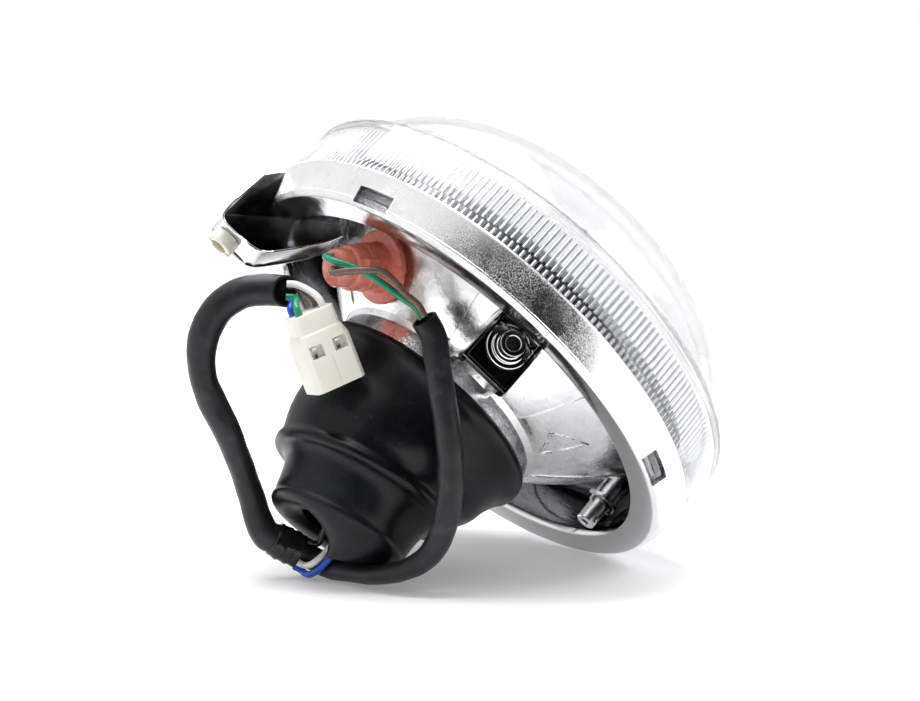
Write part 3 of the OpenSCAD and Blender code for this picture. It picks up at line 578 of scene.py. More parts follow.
def cut(base, *cutters):
    def plain(shape, name):
        work = toBmesh(shape)
        mesh = bpy.data.meshes.new(name)
        work.to_mesh(mesh)
        work.free()
        return linked(name, mesh)
    body = plain(base, "cutBody")
    tools = [plain(c, "cutTool") for c in cutters]
    for tool in tools:
        modifier = body.modifiers.new("cut", "BOOLEAN")
        modifier.operation = "DIFFERENCE"
        modifier.solver = "EXACT"
        modifier.object = tool
    done = bpy.data.meshes.new_from_object(body.evaluated_get(bpy.context.evaluated_depsgraph_get()))
    shape = [v.co[:] for v in done.vertices], [tuple(p.vertices) for p in done.polygons]
    for made in (body, *tools):
        bpy.data.objects.remove(made)
    bpy.data.meshes.remove(done)
    return shape


def claim(piece, slot, nodes):
    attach(piece, "root")
    if nodes:
        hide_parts(*nodes)


def shade(mesh, sharp):
    mesh.polygons.foreach_set("use_smooth", [True] * len(mesh.polygons))
    mesh.set_sharp_from_angle(angle=math.radians(sharp))


def addFinished(name, mesh, slot, sharp, nodes):
    shade(mesh, sharp)
    mesh.materials.append(finishes[slot])
    piece = linked(name, mesh)
    claim(piece, slot, nodes)
    return piece


def addPiece(name, shape, slot, sharp, nodes, attribute=None):
    mesh = bpy.data.meshes.new(name)
    work = toBmesh(shape)
    for v in work.verts:
        v.co = toFrame(v.co)
    work.to_mesh(mesh)
    work.free()
    back = pivotBehindJoint / 1000
    for key, rule in (attribute or {}).items():
        layer = mesh.attributes.new(key, "FLOAT", "POINT")
        layer.data.foreach_set("value", [rule(v.co.x * 1000, (v.co.y + back) * 1000, v.co.z * 1000)
                                         for v in mesh.vertices])
    return addFinished(name, mesh, slot, sharp, nodes)


def smoothPath(points, steps=8):
    # centripetal curve through every route point
    pts = [Vector(p) for p in points]
    ends = [pts[0] * 2 - pts[1]] + pts + [pts[-1] * 2 - pts[-2]]
    out = []
    for i in range(1, len(ends) - 2):
        p0, p1, p2, p3 = ends[i - 1:i + 3]
        t = [0.0]
        for a, b in ((p0, p1), (p1, p2), (p2, p3)):
            t.append(t[-1] + max((b - a).length, 1e-4) ** 0.5)
        for k in range(steps):
            at = t[1] + (t[2] - t[1]) * k / steps
            a1 = p0.lerp(p1, (at - t[0]) / (t[1] - t[0]))
            a2 = p1.lerp(p2, (at - t[1]) / (t[2] - t[1]))
            a3 = p2.lerp(p3, (at - t[2]) / (t[3] - t[2]))
            b1 = a1.lerp(a2, (at - t[0]) / (t[2] - t[0]))
            b2 = a2.lerp(a3, (at - t[1]) / (t[3] - t[1]))
            out.append(b1.lerp(b2, (at - t[1]) / (t[2] - t[1])))
    out.append(pts[-1])
    return out


def headings(path):
    last = len(path) - 1
    return [(path[min(i + 1, last)] - path[max(i - 1, 0)]).normalized() for i in range(len(path))]


def tubeRings(path, size, sides=20, ripple=None):
    # size(i, share) gives the half width, the half thickness and the direction of the thin way
    rings = []
    run = headings(path)
    across = run[0].orthogonal().normalized()
    for i, spot in enumerate(path):
        across = (across - run[i] * across.dot(run[i])).normalized()
        up = run[i].cross(across)
        share = i / (len(path) - 1)
        wide, thin, thinWay = size(i, share)
        if thinWay is not None:
            t = (thinWay - run[i] * thinWay.dot(run[i])).normalized()
            w = run[i].cross(t)
        ring = []
        for k in range(sides):
            a = 2 * math.pi * k / sides
            out = across * math.cos(a) + up * math.sin(a)
            if thinWay is None:
                reach = wide
            else:
                reach = 1 / math.sqrt((out.dot(w) / wide) ** 2 + (out.dot(t) / thin) ** 2)
            if ripple:
                reach += ripple(spot + out * reach, share, a)
            ring.append(spot + out * reach)
        rings.append(ring)
    return rings


def addCordPiece(name, rings, slot, nodes, hollow=0, sharp=50):
    # lengths run along V and the way round along U, for the draw lines
    n = len(rings[0])
    inner = []
    if hollow:
        # the inner wall goes ten rings deep, behind a rounded rim
        middle = [middleOf(r) for r in rings]
        deep = min(10, len(rings) - 1)
        inner = [[m + (Vector(p) - m) * (1 - hollow) for p in r] for m, r in zip(middle[:deep], rings[:deep])]
        lift = (middle[0] - middle[1]) * 0.12
        rim = [middle[0] + (Vector(p) - middle[0]) * (1 - hollow / 2) + lift for p in rings[0]]
        inner = inner[::-1] + [rim]
    every = inner + rings
    points = [tuple(p) for r in every for p in r]
    faces, marks = [], []
    travelled = [0.0]
    for a, b in zip(every, every[1:]):
        travelled.append(travelled[-1] + (middleOf(a) - middleOf(b)).length)
    for i in range(len(every) - 1):
        near, far = travelled[i:i + 2]
        for k in range(n):
            j = (k + 1) % n
            faces.append((i * n + k, i * n + j, (i + 1) * n + j, (i + 1) * n + k))
            marks.append([(k / n, near), ((k + 1) / n, near), ((k + 1) / n, far), (k / n, far)])
    for ring in (0, len(every) - 1):
        faces.append(tuple(range(ring * n, ring * n + n)))
        marks.append([(k / n, travelled[ring]) for k in range(n)])
    mesh = bpy.data.meshes.new(name)
    mesh.from_pydata([toFrame(p) for p in points], [], faces)
    uv = mesh.uv_layers.new(name="along")
    uv.data.foreach_set("uv", [x for m in marks for pair in m for x in pair])
    work = bmesh.new()
    work.from_mesh(mesh)
    bmesh.ops.recalc_face_normals(work, faces=work.faces)
    work.to_mesh(mesh)
    work.free()
    return addFinished(name, mesh, slot, sharp, nodes)


def angledMouth(rings, towards, slope, count=7):
    # the side that faces "towards" is cut shorter, the cut fading out over a few rings
    middle = [middleOf(r) for r in rings]
    back = (middle[1] - middle[0]).normalized()
    for i in range(count):
        fade = (1 - i / count) ** 1.5
        rings[i] = [p + back * max(-2.0, min(4.5, (p - middle[i]).dot(towards) * slope)) * fade for p in rings[i]]
    return rings


def pathLength(path):
    return sum((b - a).length for a, b in zip(path, path[1:]))


loom = {
    "wire": 2.0, "sleeve": 7.4, "wideSleeve": 9.0, "tape": 10.8,  # outer widths
    "tapeStart": (13.6, 75.2, -1.5), "tapeEnd": (13.3, 77.6, 6.5),
    "positionSleeve": [(-44, 18.6, 20.6), (-44, 20.2, 16), (-44, 25.5, 9.5), (-42.5, 31.5, 1.5), (-39.5, 37.5, -7),
                       (-35.5, 43.5, -14.5), (-31.5, 50, -20.5), (-27.5, 56, -24.3), (-23.5, 61.5, -25.6),
                       (-18, 66.8, -23.9), (-10, 70.6, -20.3), (1, 72.6, -15), (9, 73.8, -10.4), (13.75, 74, -5.5),
                       (13.6, 75.2, -1.5)],
    "connectorSleeve": [(13.3, 77.6, 6.5), (13.2, 78.4, 9.167), (12.5, 76.8, 13.8), (11, 74, 19.3), (8.5, 71, 26),
                        (5.5, 68.5, 32.5), (2, 66.5, 39), (0, 64.5, 46), (-3, 61.5, 53.5), (-8, 55.5, 60.5),
                        (-13, 47.5, 63.5), (-17, 40.5, 62), (-20, 36, 58), (-22.5, 32.5, 53)],
    "plugAt": (-28.6, 37.9, 33.2), "plugTurn": (30, 10), "plugTip": 22, "plugShift": (-2.6, 0.2),
    "wireX": 2.6, "wireY": 3.55,  # the four wires stand this far from the plug's middle
    # where each wire of the main bulb lies in the tape
    "bulbWires": {"white": (-3.13, 3.51, -1.17), "blue": (-0.69, 4.58, -1.4), "black": (-3.7, -3, 0.77)},
}


def plugPoint(p):
    tilt, turn = (math.radians(a) for a in loom["plugTurn"])
    u = p[1] * math.cos(tilt) - p[2] * math.sin(tilt)
    v = p[1] * math.sin(tilt) + p[2] * math.cos(tilt)
    x, y, z = loom["plugAt"]
    return (x + p[0] * math.cos(turn) - u * math.sin(turn),
            y + p[0] * math.sin(turn) + u * math.cos(turn), z + v)


def restPose(p):
    # the way the connector really hangs: tipped a little towards the camera about its middle
    tip = Matrix.Rotation(math.radians(loom["plugTip"]), 3, Vector(view["right"]))
    middle = Vector(loom["plugAt"])
    sideways, upwards = loom["plugShift"]
    return tuple(middle + tip @ (Vector(plugPoint(p)) - middle) + Vector(view["right"]) * sideways
                 + Vector(view["up"]) * upwards)


# the bowl is a paraboloid, and the position lamp stands on it
holder = {"angle": 123.5, "reach": 45.2, "focus": 24.7, "apex": 28.4}


def holderPoint(p):
    # local z stands square on the bowl at the position lamp, x points away from the lamp axis
    tilt = math.atan2(holder["reach"], 2 * holder["focus"])
    a = math.radians(holder["angle"])
    r = holder["reach"] + p[0] * math.cos(tilt) + p[2] * math.sin(tilt)
    foot = holder["apex"] - holder["reach"] ** 2 / (4 * holder["focus"])
    back = foot - p[0] * math.sin(tilt) + p[2] * math.cos(tilt)
    return (r * math.cos(a) + p[1] * math.sin(a), back, r * math.sin(a) - p[1] * math.cos(a))


def intoTape(colour):
    # the last two points of a wire that runs into the tape
    run = Vector((-0.3, 2.4, 8))
    return [Vector(loom["tapeStart"]) + Vector(loom["bulbWires"][colour]) - run * back for back in (0.25, 0.01)]


mouth = Vector(loom["positionSleeve"][0])
mouthRun = Vector((0, 1.6, -4.6))
connectorMouth = Vector(loom["connectorSleeve"][-1])
connectorRun = Vector((-2.5, -3.5, -5))


def stubRoute(x, y, sway):
    sway = Vector(sway)
    return [connectorMouth + sway + connectorRun * 0.02, connectorMouth + sway + connectorRun * 0.4,
            Vector(restPose((x, y, 13.2))), Vector(restPose((x, y, 9)))]


def intoSleeve(side):
    return [mouth + Vector((side, 0, 0)) - mouthRun * back for back in (0.8, 0.06)]


wireX, wireY = loom["wireX"], loom["wireY"]
wireRoutes = {
    "position_wire_green": ("wire_green", [
        holderPoint((3, 1, 18.62)), holderPoint((3, 1, 20.8)), (-36.6, 21.5, 49.3), (-38.8, 20.1, 45.2),
        (-41, 19.3, 40.5), (-42.4, 18.8, 35.4), (-42.8, 18.2, 30), *intoSleeve(1.3)]),
    "position_wire_brown": ("wire_brown", [
        holderPoint((0.2, -3.2, 18.62)), holderPoint((0.2, -3.2, 21.2)), (-38.4, 25, 47.2), (-41.4, 23.2, 45),
        (-44.6, 20.4, 41.6), (-45.8, 17.8, 38), (-46.2, 17.4, 33.8), (-46.2, 17.9, 29.5), *intoSleeve(-1.3)]),
    "bulb_wire_white": ("wire_white", [
        (-4, 50.31, -5), (-4, 53.29, -5), (-1, 58, -5.2), (2.4, 64, -6), (4.6, 68.5, -6.2), (5, 72.4, -6.5),
        (5.4, 75.6, -6.2), (7.4, 77.4, -5.8), *intoTape("white")]),
    "bulb_wire_blue": ("wire_blue", [
        (4, 50.31, -4), (4, 53.29, -4), (4.2, 60, -7.5), (3, 67.5, -9.2), (2.6, 73.4, -8.3), (5.2, 76.8, -8.4),
        (9, 79.5, -7.5), *intoTape("blue")]),
    "bulb_wire_black": ("tape_black", [
        (-4, 50.31, 3), (-4, 53.29, 3), (0, 58, 1), (4, 63.5, -0.6), (7.5, 67.5, -2.2), (9.5, 70.4, -3.6),
        *intoTape("black")]),
    "connector_wire_white": ("wire_white", stubRoute(-wireX, -wireY, (-1.6, -1, 1.5))),
    "connector_wire_blue": ("wire_blue", stubRoute(wireX, wireY, (1.6, 1, -1.5))),
    "connector_wire_green": ("wire_green", stubRoute(-wireX, wireY, (-0.8, 1.7, -0.8))),
    "connector_wire_brown": ("wire_brown", stubRoute(wireX, -wireY, (0.8, -1.7, 0.8))),
}


def addWires():
    made = {}
    for name, (slot, route) in wireRoutes.items():
        path = smoothPath(route, 5)
        rings = tubeRings(path, lambda i, share: (loom["wire"] / 2, 0, None), 16,
                          lambda p, share, a: 0.02 * noise.noise(p * 0.9))
        made[name] = (addCordPiece(name + "_insulation", rings, slot, [name]), path)
    return made


floorWay = Vector(view["floorUp"])


def positionSleeveSize(i, share):
    # round at the mouth, pressed flat where it lies under the boot
    press = math.exp(-((share - 0.72) / 0.17) ** 2)
    half = loom["sleeve"] / 2
    return half * (1 + 0.13 * press), half * (1 - 0.24 * press), floorWay


def wideSleeveSize(i, share):
    # pressed in two places, by the boot and by its own bend
    press = math.exp(-((share - 0.33) / 0.2) ** 2) * 0.8 + math.exp(-((share - 0.62) / 0.06) ** 2) * 0.5
    half = loom["wideSleeve"] / 2
    return half * (1 + 0.1 * press), half * (1 - 0.22 * press), Vector((0.45, 0.85, -0.25))


def sleeveRipple(p, share, a):
    crease = noise.noise(Vector((p.x * 0.09, p.y * 0.09, p.z * 0.09)) * 2.6)
    return 0.16 * crease + 0.05 * noise.noise(p * 0.7)


def addLoom():
    wires = addWires()
    low = smoothPath(loom["positionSleeve"], 7)
    high = smoothPath(loom["connectorSleeve"], 7)
    toCamera = Vector(view["towards"])
    lowRings = angledMouth(tubeRings(low, positionSleeveSize, 32, sleeveRipple), toCamera, 0.35)
    lowPiece = addCordPiece("position_sleeve_tube", lowRings, "sleeve_grey", ["position_sleeve"], 0.2)
    highRings = angledMouth(tubeRings(high, wideSleeveSize, 36, sleeveRipple)[::-1], toCamera, 0.75)
    highPiece = addCordPiece("connector_sleeve_tube", highRings, "sleeve_grey", ["connector_sleeve"], 0.16)
    return wires, (lowPiece, low), (highPiece, high)


wires, lowSleeve, highSleeve = addLoom()


def addTape():
    # several turns of tape, each edge standing a little proud, with loose corners
    start, end = Vector(loom["tapeStart"]), Vector(loom["tapeEnd"])
    run = (end - start).normalized()
    path = [start.lerp(end, t / 40) for t in range(-1, 42)]
    half = loom["tape"] / 2

    def lumps(p, share, a):
        turn = (share * 3.1 + a / (2 * math.pi) * 0.5) % 1
        edge = 0.32 * (1 - turn)
        frayed = 0.3 * max(0, noise.noise(Vector((a * 1.6, share * 6, 2.3))))
        return edge + frayed + 0.3 * noise.noise(p * 0.22) - 0.5

    rings = tubeRings(path, lambda i, share: (half * (1 - 0.05 * (2 * share - 1) ** 8), 0, None), 48, lumps)
    return addCordPiece("junction_tape_wrap", rings, "tape_black", ["junction_tape"], sharp=24)


tape = addTape()

plug = {
    # thickness, width, corner and place along the plug, from the mating end to the wire end
    "sections": [(12, 15, 1.4, -11), (12, 15, 1.4, 2.2), (11.4, 12.9, 1.2, 5.2), (10, 12.4, 1, 5.6),
                 (10, 12.4, 1, 11)],
    "mouth": ((-4.7, -6.2, -12), (4.7, 6.2, -2)),
    "slot": ((-6.4, -0.35, -11.5), (-5.75, 0.35, -2.4)),
    "divider": ((-4.8, -0.45, -9.6), (4.8, 0.45, -1.6)),
    "window": 4.0, "wireHole": 1.15,
    "blade": ((-0.35, -1.5, -9.2), (0.35, 1.5, 1.2)),
    "barrel": [(0, 0.9), (1.0, 0.9), (1.12, 1.2), (1.12, 2.9), (1.0, 3.1), (0, 3.1)],
    "tongue": [(-0.3, -1.4), (-0.1, -1.4), (-1.3, 1.6), (-1.5, 1.5)],
}
cavities = [(x, y) for x in (-wireX, wireX) for y in (-wireY, wireY)]


def slotWindow(s, y):
    half = s["window"] / 2
    return block((-8, y - half, -1.5), (-3.6, y + half, 2.1), restPose)


def octagon(t, w, edge):
    return [(-t / 2 + edge, -w / 2), (t / 2 - edge, -w / 2), (t / 2, -w / 2 + edge), (t / 2, w / 2 - edge),
            (t / 2 - edge, w / 2), (-t / 2 + edge, w / 2), (-t / 2, w / 2 - edge), (-t / 2, -w / 2 + edge)]


def addConnector(s):
    # mating block, sloping shoulders, then the wire end
    rings = [[restPose((x, y, z)) for x, y in octagon(t, w, edge)] for t, w, edge, z in s["sections"]]
    body = rounded(loft(rings, capStart=True, capEnd=True), 0.3, 3, 20)
    tools = [block(*s["mouth"], restPose), slotWindow(s, -wireY), slotWindow(s, wireY)]
    hole = [(0, -3), (s["wireHole"], -3), (s["wireHole"], 12), (0, 12)]
    tools += [tower(hole, 20, shifted(restPose, x, y)) for x, y in cavities]
    tools.append(block(*s["slot"], restPose))
    shape = cut(body, *tools)
    return addPiece("connector_shell", join(shape, block(*s["divider"], restPose)), "natural_nylon", 24,
                    ["connector_housing"])


def addContacts(s):
    # four pressed contacts: a crimp barrel, then a flat blade with a bent latch tongue behind each window
    made = []
    for x, y in cavities:
        place = shifted(restPose, x, y)
        made.append(rounded(block(*s["blade"], place), 0.08))
        made.append(tower(s["barrel"], 20, place))
        made.append(slab(s["tongue"], -0.7, 0.7, lambda p: place((p[0], p[2], p[1]))))
    return addPiece("connector_contacts", join(*made), "bulb_metal", 30, ["connector_terminals"])


connector = addConnector(plug)
contacts = addContacts(plug)


def declareCords():
    def metres(path):
        return [toFrame(p) for p in path]
    low, lowPath = lowSleeve
    high, highPath = highSleeve
    toFrame(lowPath[0])
    pathLength(lowPath) / 1000
    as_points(metres(lowPath))
    toFrame(highPath[0])
    pathLength(highPath) / 1000
    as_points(metres(highPath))
    for name in ("position_wire_green", "position_wire_brown", "bulb_wire_white", "bulb_wire_blue"):
        piece, path = wires[name]
        toFrame(path[0])
        pathLength(path) / 1000
        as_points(metres(path))


declareCords()
print("loom done")

lens = {
    "rimR": 78.0, "taper": 3.7, "rimDepth": 10.4, "wall": 2.4, "band": 18.8, "domeR": 70.5, "domeH": 37.0,
    "skirtEnd": 6.5, "rimWall": 1.9, "rimGap": 0.3, "snaps": (45, 135, 225, 315), "snapHalf": 5.1,
    "fluteCount": 240, "fluteWidth": 1.05, "fluteDepth": 0.6, "steps": 40,
    # rows of ribs: radius, from, to, turned by a share of the pitch
    "fluteRows": {"lens_ribs_long": (75.3, -3.7, -14.6, 0.0), "lens_ribs_short": (75.5, -1.0, -3.0, 0.5)},
}


def rimAt(y):
    return lens["rimR"] - lens["taper"] * y / lens["rimDepth"]


def addLens(s):
    skirtEnd, wall, band = s["skirtEnd"], s["wall"], -s["band"]
    skirtR = rimAt(0) - s["rimWall"] - s["rimGap"]
    endR = skirtR - s["taper"] / s["rimDepth"] * skirtEnd
    bandR, frontR = s["rimR"] - 0.4, s["rimR"] - 1.2
    turns = [math.pi / 2 * i / s["steps"] for i in range(s["steps"] + 1)]
    outer = [(s["domeR"] * math.cos(t), band - 0.8 - s["domeH"] * math.sin(t)) for t in turns[::-1]]
    outer[0] = (0, outer[0][1])
    flange = [(frontR - 4.2, band - 0.9), (frontR - 1.4, band - 0.8), (frontR - 0.5, band - 0.55), (frontR, band),
              (frontR + 0.45, band + 0.5), (frontR + 0.5, band + 0.8), (frontR + 0.05, band + 1.3),
              (frontR + 0.02, band + 2.3), (frontR + 0.3, band + 2.7), (frontR + 0.3, band + 3.1),
              (frontR + 0.1, band + 3.5), (bandR - 0.25, -5), (bandR - 0.1, -0.8), (bandR - 0.3, -0.2),
              (skirtR, -0.2)]
    skirt = [(endR, skirtEnd), (endR - wall, skirtEnd), (skirtR - wall, -0.4), (frontR - wall, -10),
             (frontR - wall, band + wall + 1), (frontR - wall - 0.6, band + wall + 0.2)]
    inR, inH = s["domeR"] - wall, s["domeH"] - wall
    inner = [(inR * math.cos(t), band + 0.4 - inH * math.sin(t)) for t in turns]
    inner[-1] = (0, inner[-1][1])
    body = turned(outer + flange + skirt + inner, 256, closed=False)
    r = rimAt(skirtEnd) - s["rimWall"] - s["rimGap"] - wall
    outline = [(r, skirtEnd - 0.4), (r + wall, skirtEnd - 0.4), (r + wall + 0.7, skirtEnd + 0.8),
               (r + wall - 0.4, skirtEnd + 1.6), (r + 0.2, skirtEnd + 1.6)]
    tabs = [rounded(roundAxis(slab(outline, -s["snapHalf"], s["snapHalf"]), a), 0.15) for a in s["snaps"]]
    return addPiece("lens_body", join(body, *tabs), "lens_clear", 28, ["lens"])


def nodesOf(tree, kind, **values):
    made = tree.nodes.new(kind)
    for key, value in values.items():
        setattr(made, key, value)
    return made


def addFlutes(s, name, radius, start, end, phase):
    # upright ribs inside the band: points on a circle, one rib on each, along the lamp axis
    tree = bpy.data.node_groups.new(name, "GeometryNodeTree")
    sizes = {"Count": s["fluteCount"], "Radius": radius / 1000, "Width": s["fluteWidth"] / 1000,
             "Depth": s["fluteDepth"] / 1000, "Length": (start - end) / 1000,
             "Middle": ((start + end) / 2 - pivotBehindJoint) / 1000}
    ports = []
    for port, value in sizes.items():
        kind = "NodeSocketInt" if port == "Count" else "NodeSocketFloat"
        ports.append((tree.interface.new_socket(port, in_out="INPUT", socket_type=kind), value))
    tree.interface.new_socket("Geometry", in_out="OUTPUT", socket_type="NodeSocketGeometry")
    given = nodesOf(tree, "NodeGroupInput")
    result = nodesOf(tree, "NodeGroupOutput")
    ring = nodesOf(tree, "GeometryNodeMeshCircle")
    rib = nodesOf(tree, "GeometryNodeMeshCylinder")
    rib.inputs["Vertices"].default_value = 8
    rib.inputs["Radius"].default_value = 0.5
    rib.inputs["Depth"].default_value = 1.0
    scale = nodesOf(tree, "ShaderNodeCombineXYZ")
    spread = nodesOf(tree, "GeometryNodeInstanceOnPoints")
    aim = nodesOf(tree, "FunctionNodeAlignRotationToVector", axis="X")
    turnCircle = nodesOf(tree, "GeometryNodeTransform")
    real = nodesOf(tree, "GeometryNodeRealizeInstances")
    paint = nodesOf(tree, "GeometryNodeSetMaterial")
    paint.inputs["Material"].default_value = finishes["lens_rib"]
    link = tree.links.new
    link(given.outputs["Count"], ring.inputs["Vertices"])
    link(given.outputs["Radius"], ring.inputs["Radius"])
    link(ring.outputs["Mesh"], spread.inputs["Points"])
    link(rib.outputs["Mesh"], spread.inputs["Instance"])
    link(nodesOf(tree, "GeometryNodeInputPosition").outputs[0], aim.inputs["Vector"])
    link(aim.outputs[0], spread.inputs["Rotation"])
    link(given.outputs["Depth"], scale.inputs["X"])
    link(given.outputs["Width"], scale.inputs["Y"])
    link(given.outputs["Length"], scale.inputs["Z"])
    link(scale.outputs[0], spread.inputs["Scale"])
    link(spread.outputs[0], turnCircle.inputs["Geometry"])
    turnCircle.inputs["Rotation"].default_value = (math.radians(90), 2 * math.pi * phase / s["fluteCount"], 0)
    shift = nodesOf(tree, "ShaderNodeCombineXYZ")
    link(given.outputs["Middle"], shift.inputs["Y"])
    link(shift.outputs[0], turnCircle.inputs["Translation"])
    link(turnCircle.outputs[0], real.inputs[0])
    link(real.outputs[0], paint.inputs["Geometry"])
    link(paint.outputs[0], result.inputs[0])
    host = linked("flute_host", bpy.data.meshes.new("flute_host"))
    modifier = host.modifiers.new("flutes", "NODES")
    modifier.node_group = tree
    for socket, value in ports:
        modifier[socket.identifier] = value
    mesh = bpy.data.meshes.new_from_object(host.evaluated_get(bpy.context.evaluated_depsgraph_get()))
    bpy.data.objects.remove(host)
    shade(mesh, 50)
    piece = linked(name, mesh)
    claim(piece, "lens_clear", [])
    return piece


addLens(lens)
for name, row in lens["fluteRows"].items():
    addFlutes(lens, name, *row)
print("lens done")

housing = {
    "shell": 1.9, "lipR": 65.4, "wallIn": 64.8, "gutter": -8.0, "bowlWall": 2.4, "seatR": 30.0, "facetFrom": 36.5,
    "neckR": 34.5, "neckWall": 2.2, "bulbHole": 19.2, "seatBoss": 27.6,
    "padReach": 61.0, "padL": 20.4, "padW": 15.6, "padT": 2.2, "padWall": 1.8, "padRear": 19.0,
    "armTop": 81.6, "armBack": 25.0, "armW": 16.0, "armWall": 1.8, "nutZ": 76.4, "postZ": -58.0, "postEnd": 12.9,
    "windows": (45, 135, 225, 315), "windowW": 12.6, "windowFrom": 4.9,
    # stepped boss on each pad, then the bosses that take the seat screws
    "boss": [(0, 0), (6.1, 0), (6.1, 1.26), (5.96, 1.4), (4.82, 1.4), (4.7, 1.52), (4.7, 2.46), (4.56, 2.6),
             (3.74, 2.6), (3.6, 2.74), (3.6, 5.24), (3.44, 5.4), (2.3, 5.4), (2.1, 5.2), (0, 5.2)],
    "seat": [(0, 17.5), (3.4, 17.5), (3.4, 21.4), (3.1, 21.9), (1.4, 21.9), (1.4, 18.2), (0, 18.2)],
}


def bowlY(r, wall=0.0):
    return holder["apex"] - wall - r * r / (4 * holder["focus"])


def bowlReach(y):
    return math.sqrt(4 * holder["focus"] * max(holder["apex"] - y, 1))


# where one facet of the reflector gives way to the next, and how far each stands proud
facetEdges = [(-170, 0.0), (-148, 0.55), (-122, 0.0), (-96, 0.55), (-70, 0.0), (-40, 0.55), (-12, 0.0), (18, 0.55),
              (48, 0.0), (82, 0.6), (97, 0.0), (146, 0.6), (163, 0.0)]


def facetLift(angle):
    angle = (angle + 180) % 360 - 180
    lift = facetEdges[-1][1]
    for start, height in facetEdges:
        if angle >= start:
            lift = height
    return lift


def rimProfile(s, bowlFront):
    # channel for the lens, band, rear edge, gutter wall, then the floor of the gutter
    depth, shell, wallIn, gutter, lipR = lens["rimDepth"], s["shell"], s["wallIn"], s["gutter"], s["lipR"]
    rimR, rearR = lens["rimR"], rimAt(depth)
    return [(wallIn + shell, gutter - shell), (wallIn + shell, depth - shell),
            (rimAt(depth - shell) - shell - 0.6, depth - shell),
            (rimAt(depth - shell - 0.8) - shell, depth - shell - 0.8), (rimR - shell, 0), (rimR - 0.35, 0),
            (rimR - 0.05, 0.12), (rimR + 0.02, 0.45), (rimAt(0.9) - 0.1, 0.95),
            (rimAt(depth - 1.9) - 0.1, depth - 1.9), (rimAt(depth - 1.7) + 0.05, depth - 1.7),
            (rimAt(depth - 1.3) + 0.02, depth - 1.3), (rearR - 0.45, depth - 0.5), (rearR - 0.9, depth - 0.12),
            (rearR - 1.6, depth), (lipR + 1.0, depth - 0.35), (lipR + 0.4, depth - 0.5), (lipR, depth - 1.1),
            (lipR - 0.4, depth - 2.2), (wallIn, depth - 2.8), (wallIn, gutter + 1.2), (wallIn - 0.5, gutter + 0.3),
            (wallIn - 1.4, gutter), (bowlFront - 1, gutter), (bowlFront - 1, gutter - shell)]


def facetedBowl(s, bowlFront, steps=30):
    # outside, inside, then the hole for the bulb; the outside steps up and down at the facet edges
    rings = []
    seatY = bowlY(s["seatR"], s["bowlWall"])
    angles = sorted([i * 1.5 for i in range(240)] + [e % 360 + d for e, _ in facetEdges for d in (-0.12, 0.12)])
    for a in angles:
        ring = []
        t = math.radians(a)
        lift = facetLift(a)
        for i in range(steps + 1):
            r = s["seatR"] + (bowlFront - s["seatR"]) * i / steps
            grown = lift * min(1, max(0, (r - s["facetFrom"]) / 1.2))
            ring.append((r * math.cos(t), bowlY(r) + grown, r * math.sin(t)))
        for i in range(steps, -1, -1):
            r = s["seatR"] + (bowlFront - 0.6 - s["seatR"]) * i / steps
            ring.append((r * math.cos(t), bowlY(r, s["bowlWall"]), r * math.sin(t)))
        for y in (seatY, seatY + s["bowlWall"]):
            ring.append((s["bulbHole"] * math.cos(t), y, s["bulbHole"] * math.sin(t)))
        rings.append(ring)
    return loft(rings, loop=True)


def underArm(x, z, reach):
    # the strip where the adjuster arm meets the rim
    return abs(x) < 9 and z > reach


def sandy(x, y, z):
    onBand = math.hypot(x, z) > 73.2 and 0.3 < y < 9.6
    return 1.0 if onBand and not underArm(x, z, 72) else 0.0


def hazy(x, y, z):
    r = math.hypot(x, z)
    if r < 59 and y < 22 and abs(x) < 57:
        return 1.0
    return 0.5 if y > 9.6 and 65 < r < 74.5 and not underArm(x, z, 66) else 0.0


# painted shade: dark in the gutter, the lens channel and inside the arm, lighter on the rim's rear face
def paintedShade(x, y, z):
    r = math.hypot(x, z)
    inGutter = 57.5 < r < 65.6 and y < 9.2 and not (abs(z) < 8.5 and abs(x) > 56)
    inChannel = 66 < r < rimAt(y) - 1.5 and y < 8.9 and not underArm(x, z, 66)
    insideArm = abs(x) < 8.02 and 45 < z < 67.5 and 3 < y < 27 and r > 50
    if inGutter or inChannel or insideArm:
        return 0.93
    return 0.42 if y > 9.6 and 65.3 < r < 73.5 and not underArm(x, z, 66) else 0.0


def addHousing(s):
    depth = lens["rimDepth"]
    rearR = rimAt(depth)
    bowlFront = bowlReach(s["gutter"]) + 0.4
    half = s["windowW"] / 2
    window = block((rearR - 3.2, s["windowFrom"], -half), (rearR + 4.8, depth - 0.9, half))
    rim = cut(turned(rimProfile(s, bowlFront), 288), *[roundAxis(window, a) for a in s["windows"]])
    bowl = cut(facetedBowl(s, bowlFront), tower([(0, -8), (8.0, -8), (8.0, 8), (0, 8)], 48, holderPoint))
    neckR, inR, start = s["neckR"], s["neckR"] - s["neckWall"], bowlY(s["neckR"], s["bowlWall"] / 2)
    neck = turned([(inR, start), (neckR + 1.2, start + 0.2), (neckR + 0.5, start + 1.4), (neckR, start + 2.2),
                   (neckR, 22), (neckR + 0.2, 22.3), (neckR + 0.2, 24), (neckR - 0.4, 24.4), (inR, 24.4)], 200)
    pads = [roundAxis(p, turn) for turn in (0, 180) for p in pivotPad(s)]
    parts = [rim, bowl, neck, *pads, *fixingPost(s), *seatBosses(s), adjusterArm(s), *raisedTriangle()]
    return addPiece("housing_moulding", join(*parts), "metallised", 26, ["lamp_housing"],
                    attribute={"sandy": sandy, "hazy": hazy, "paintedShade": paintedShade})


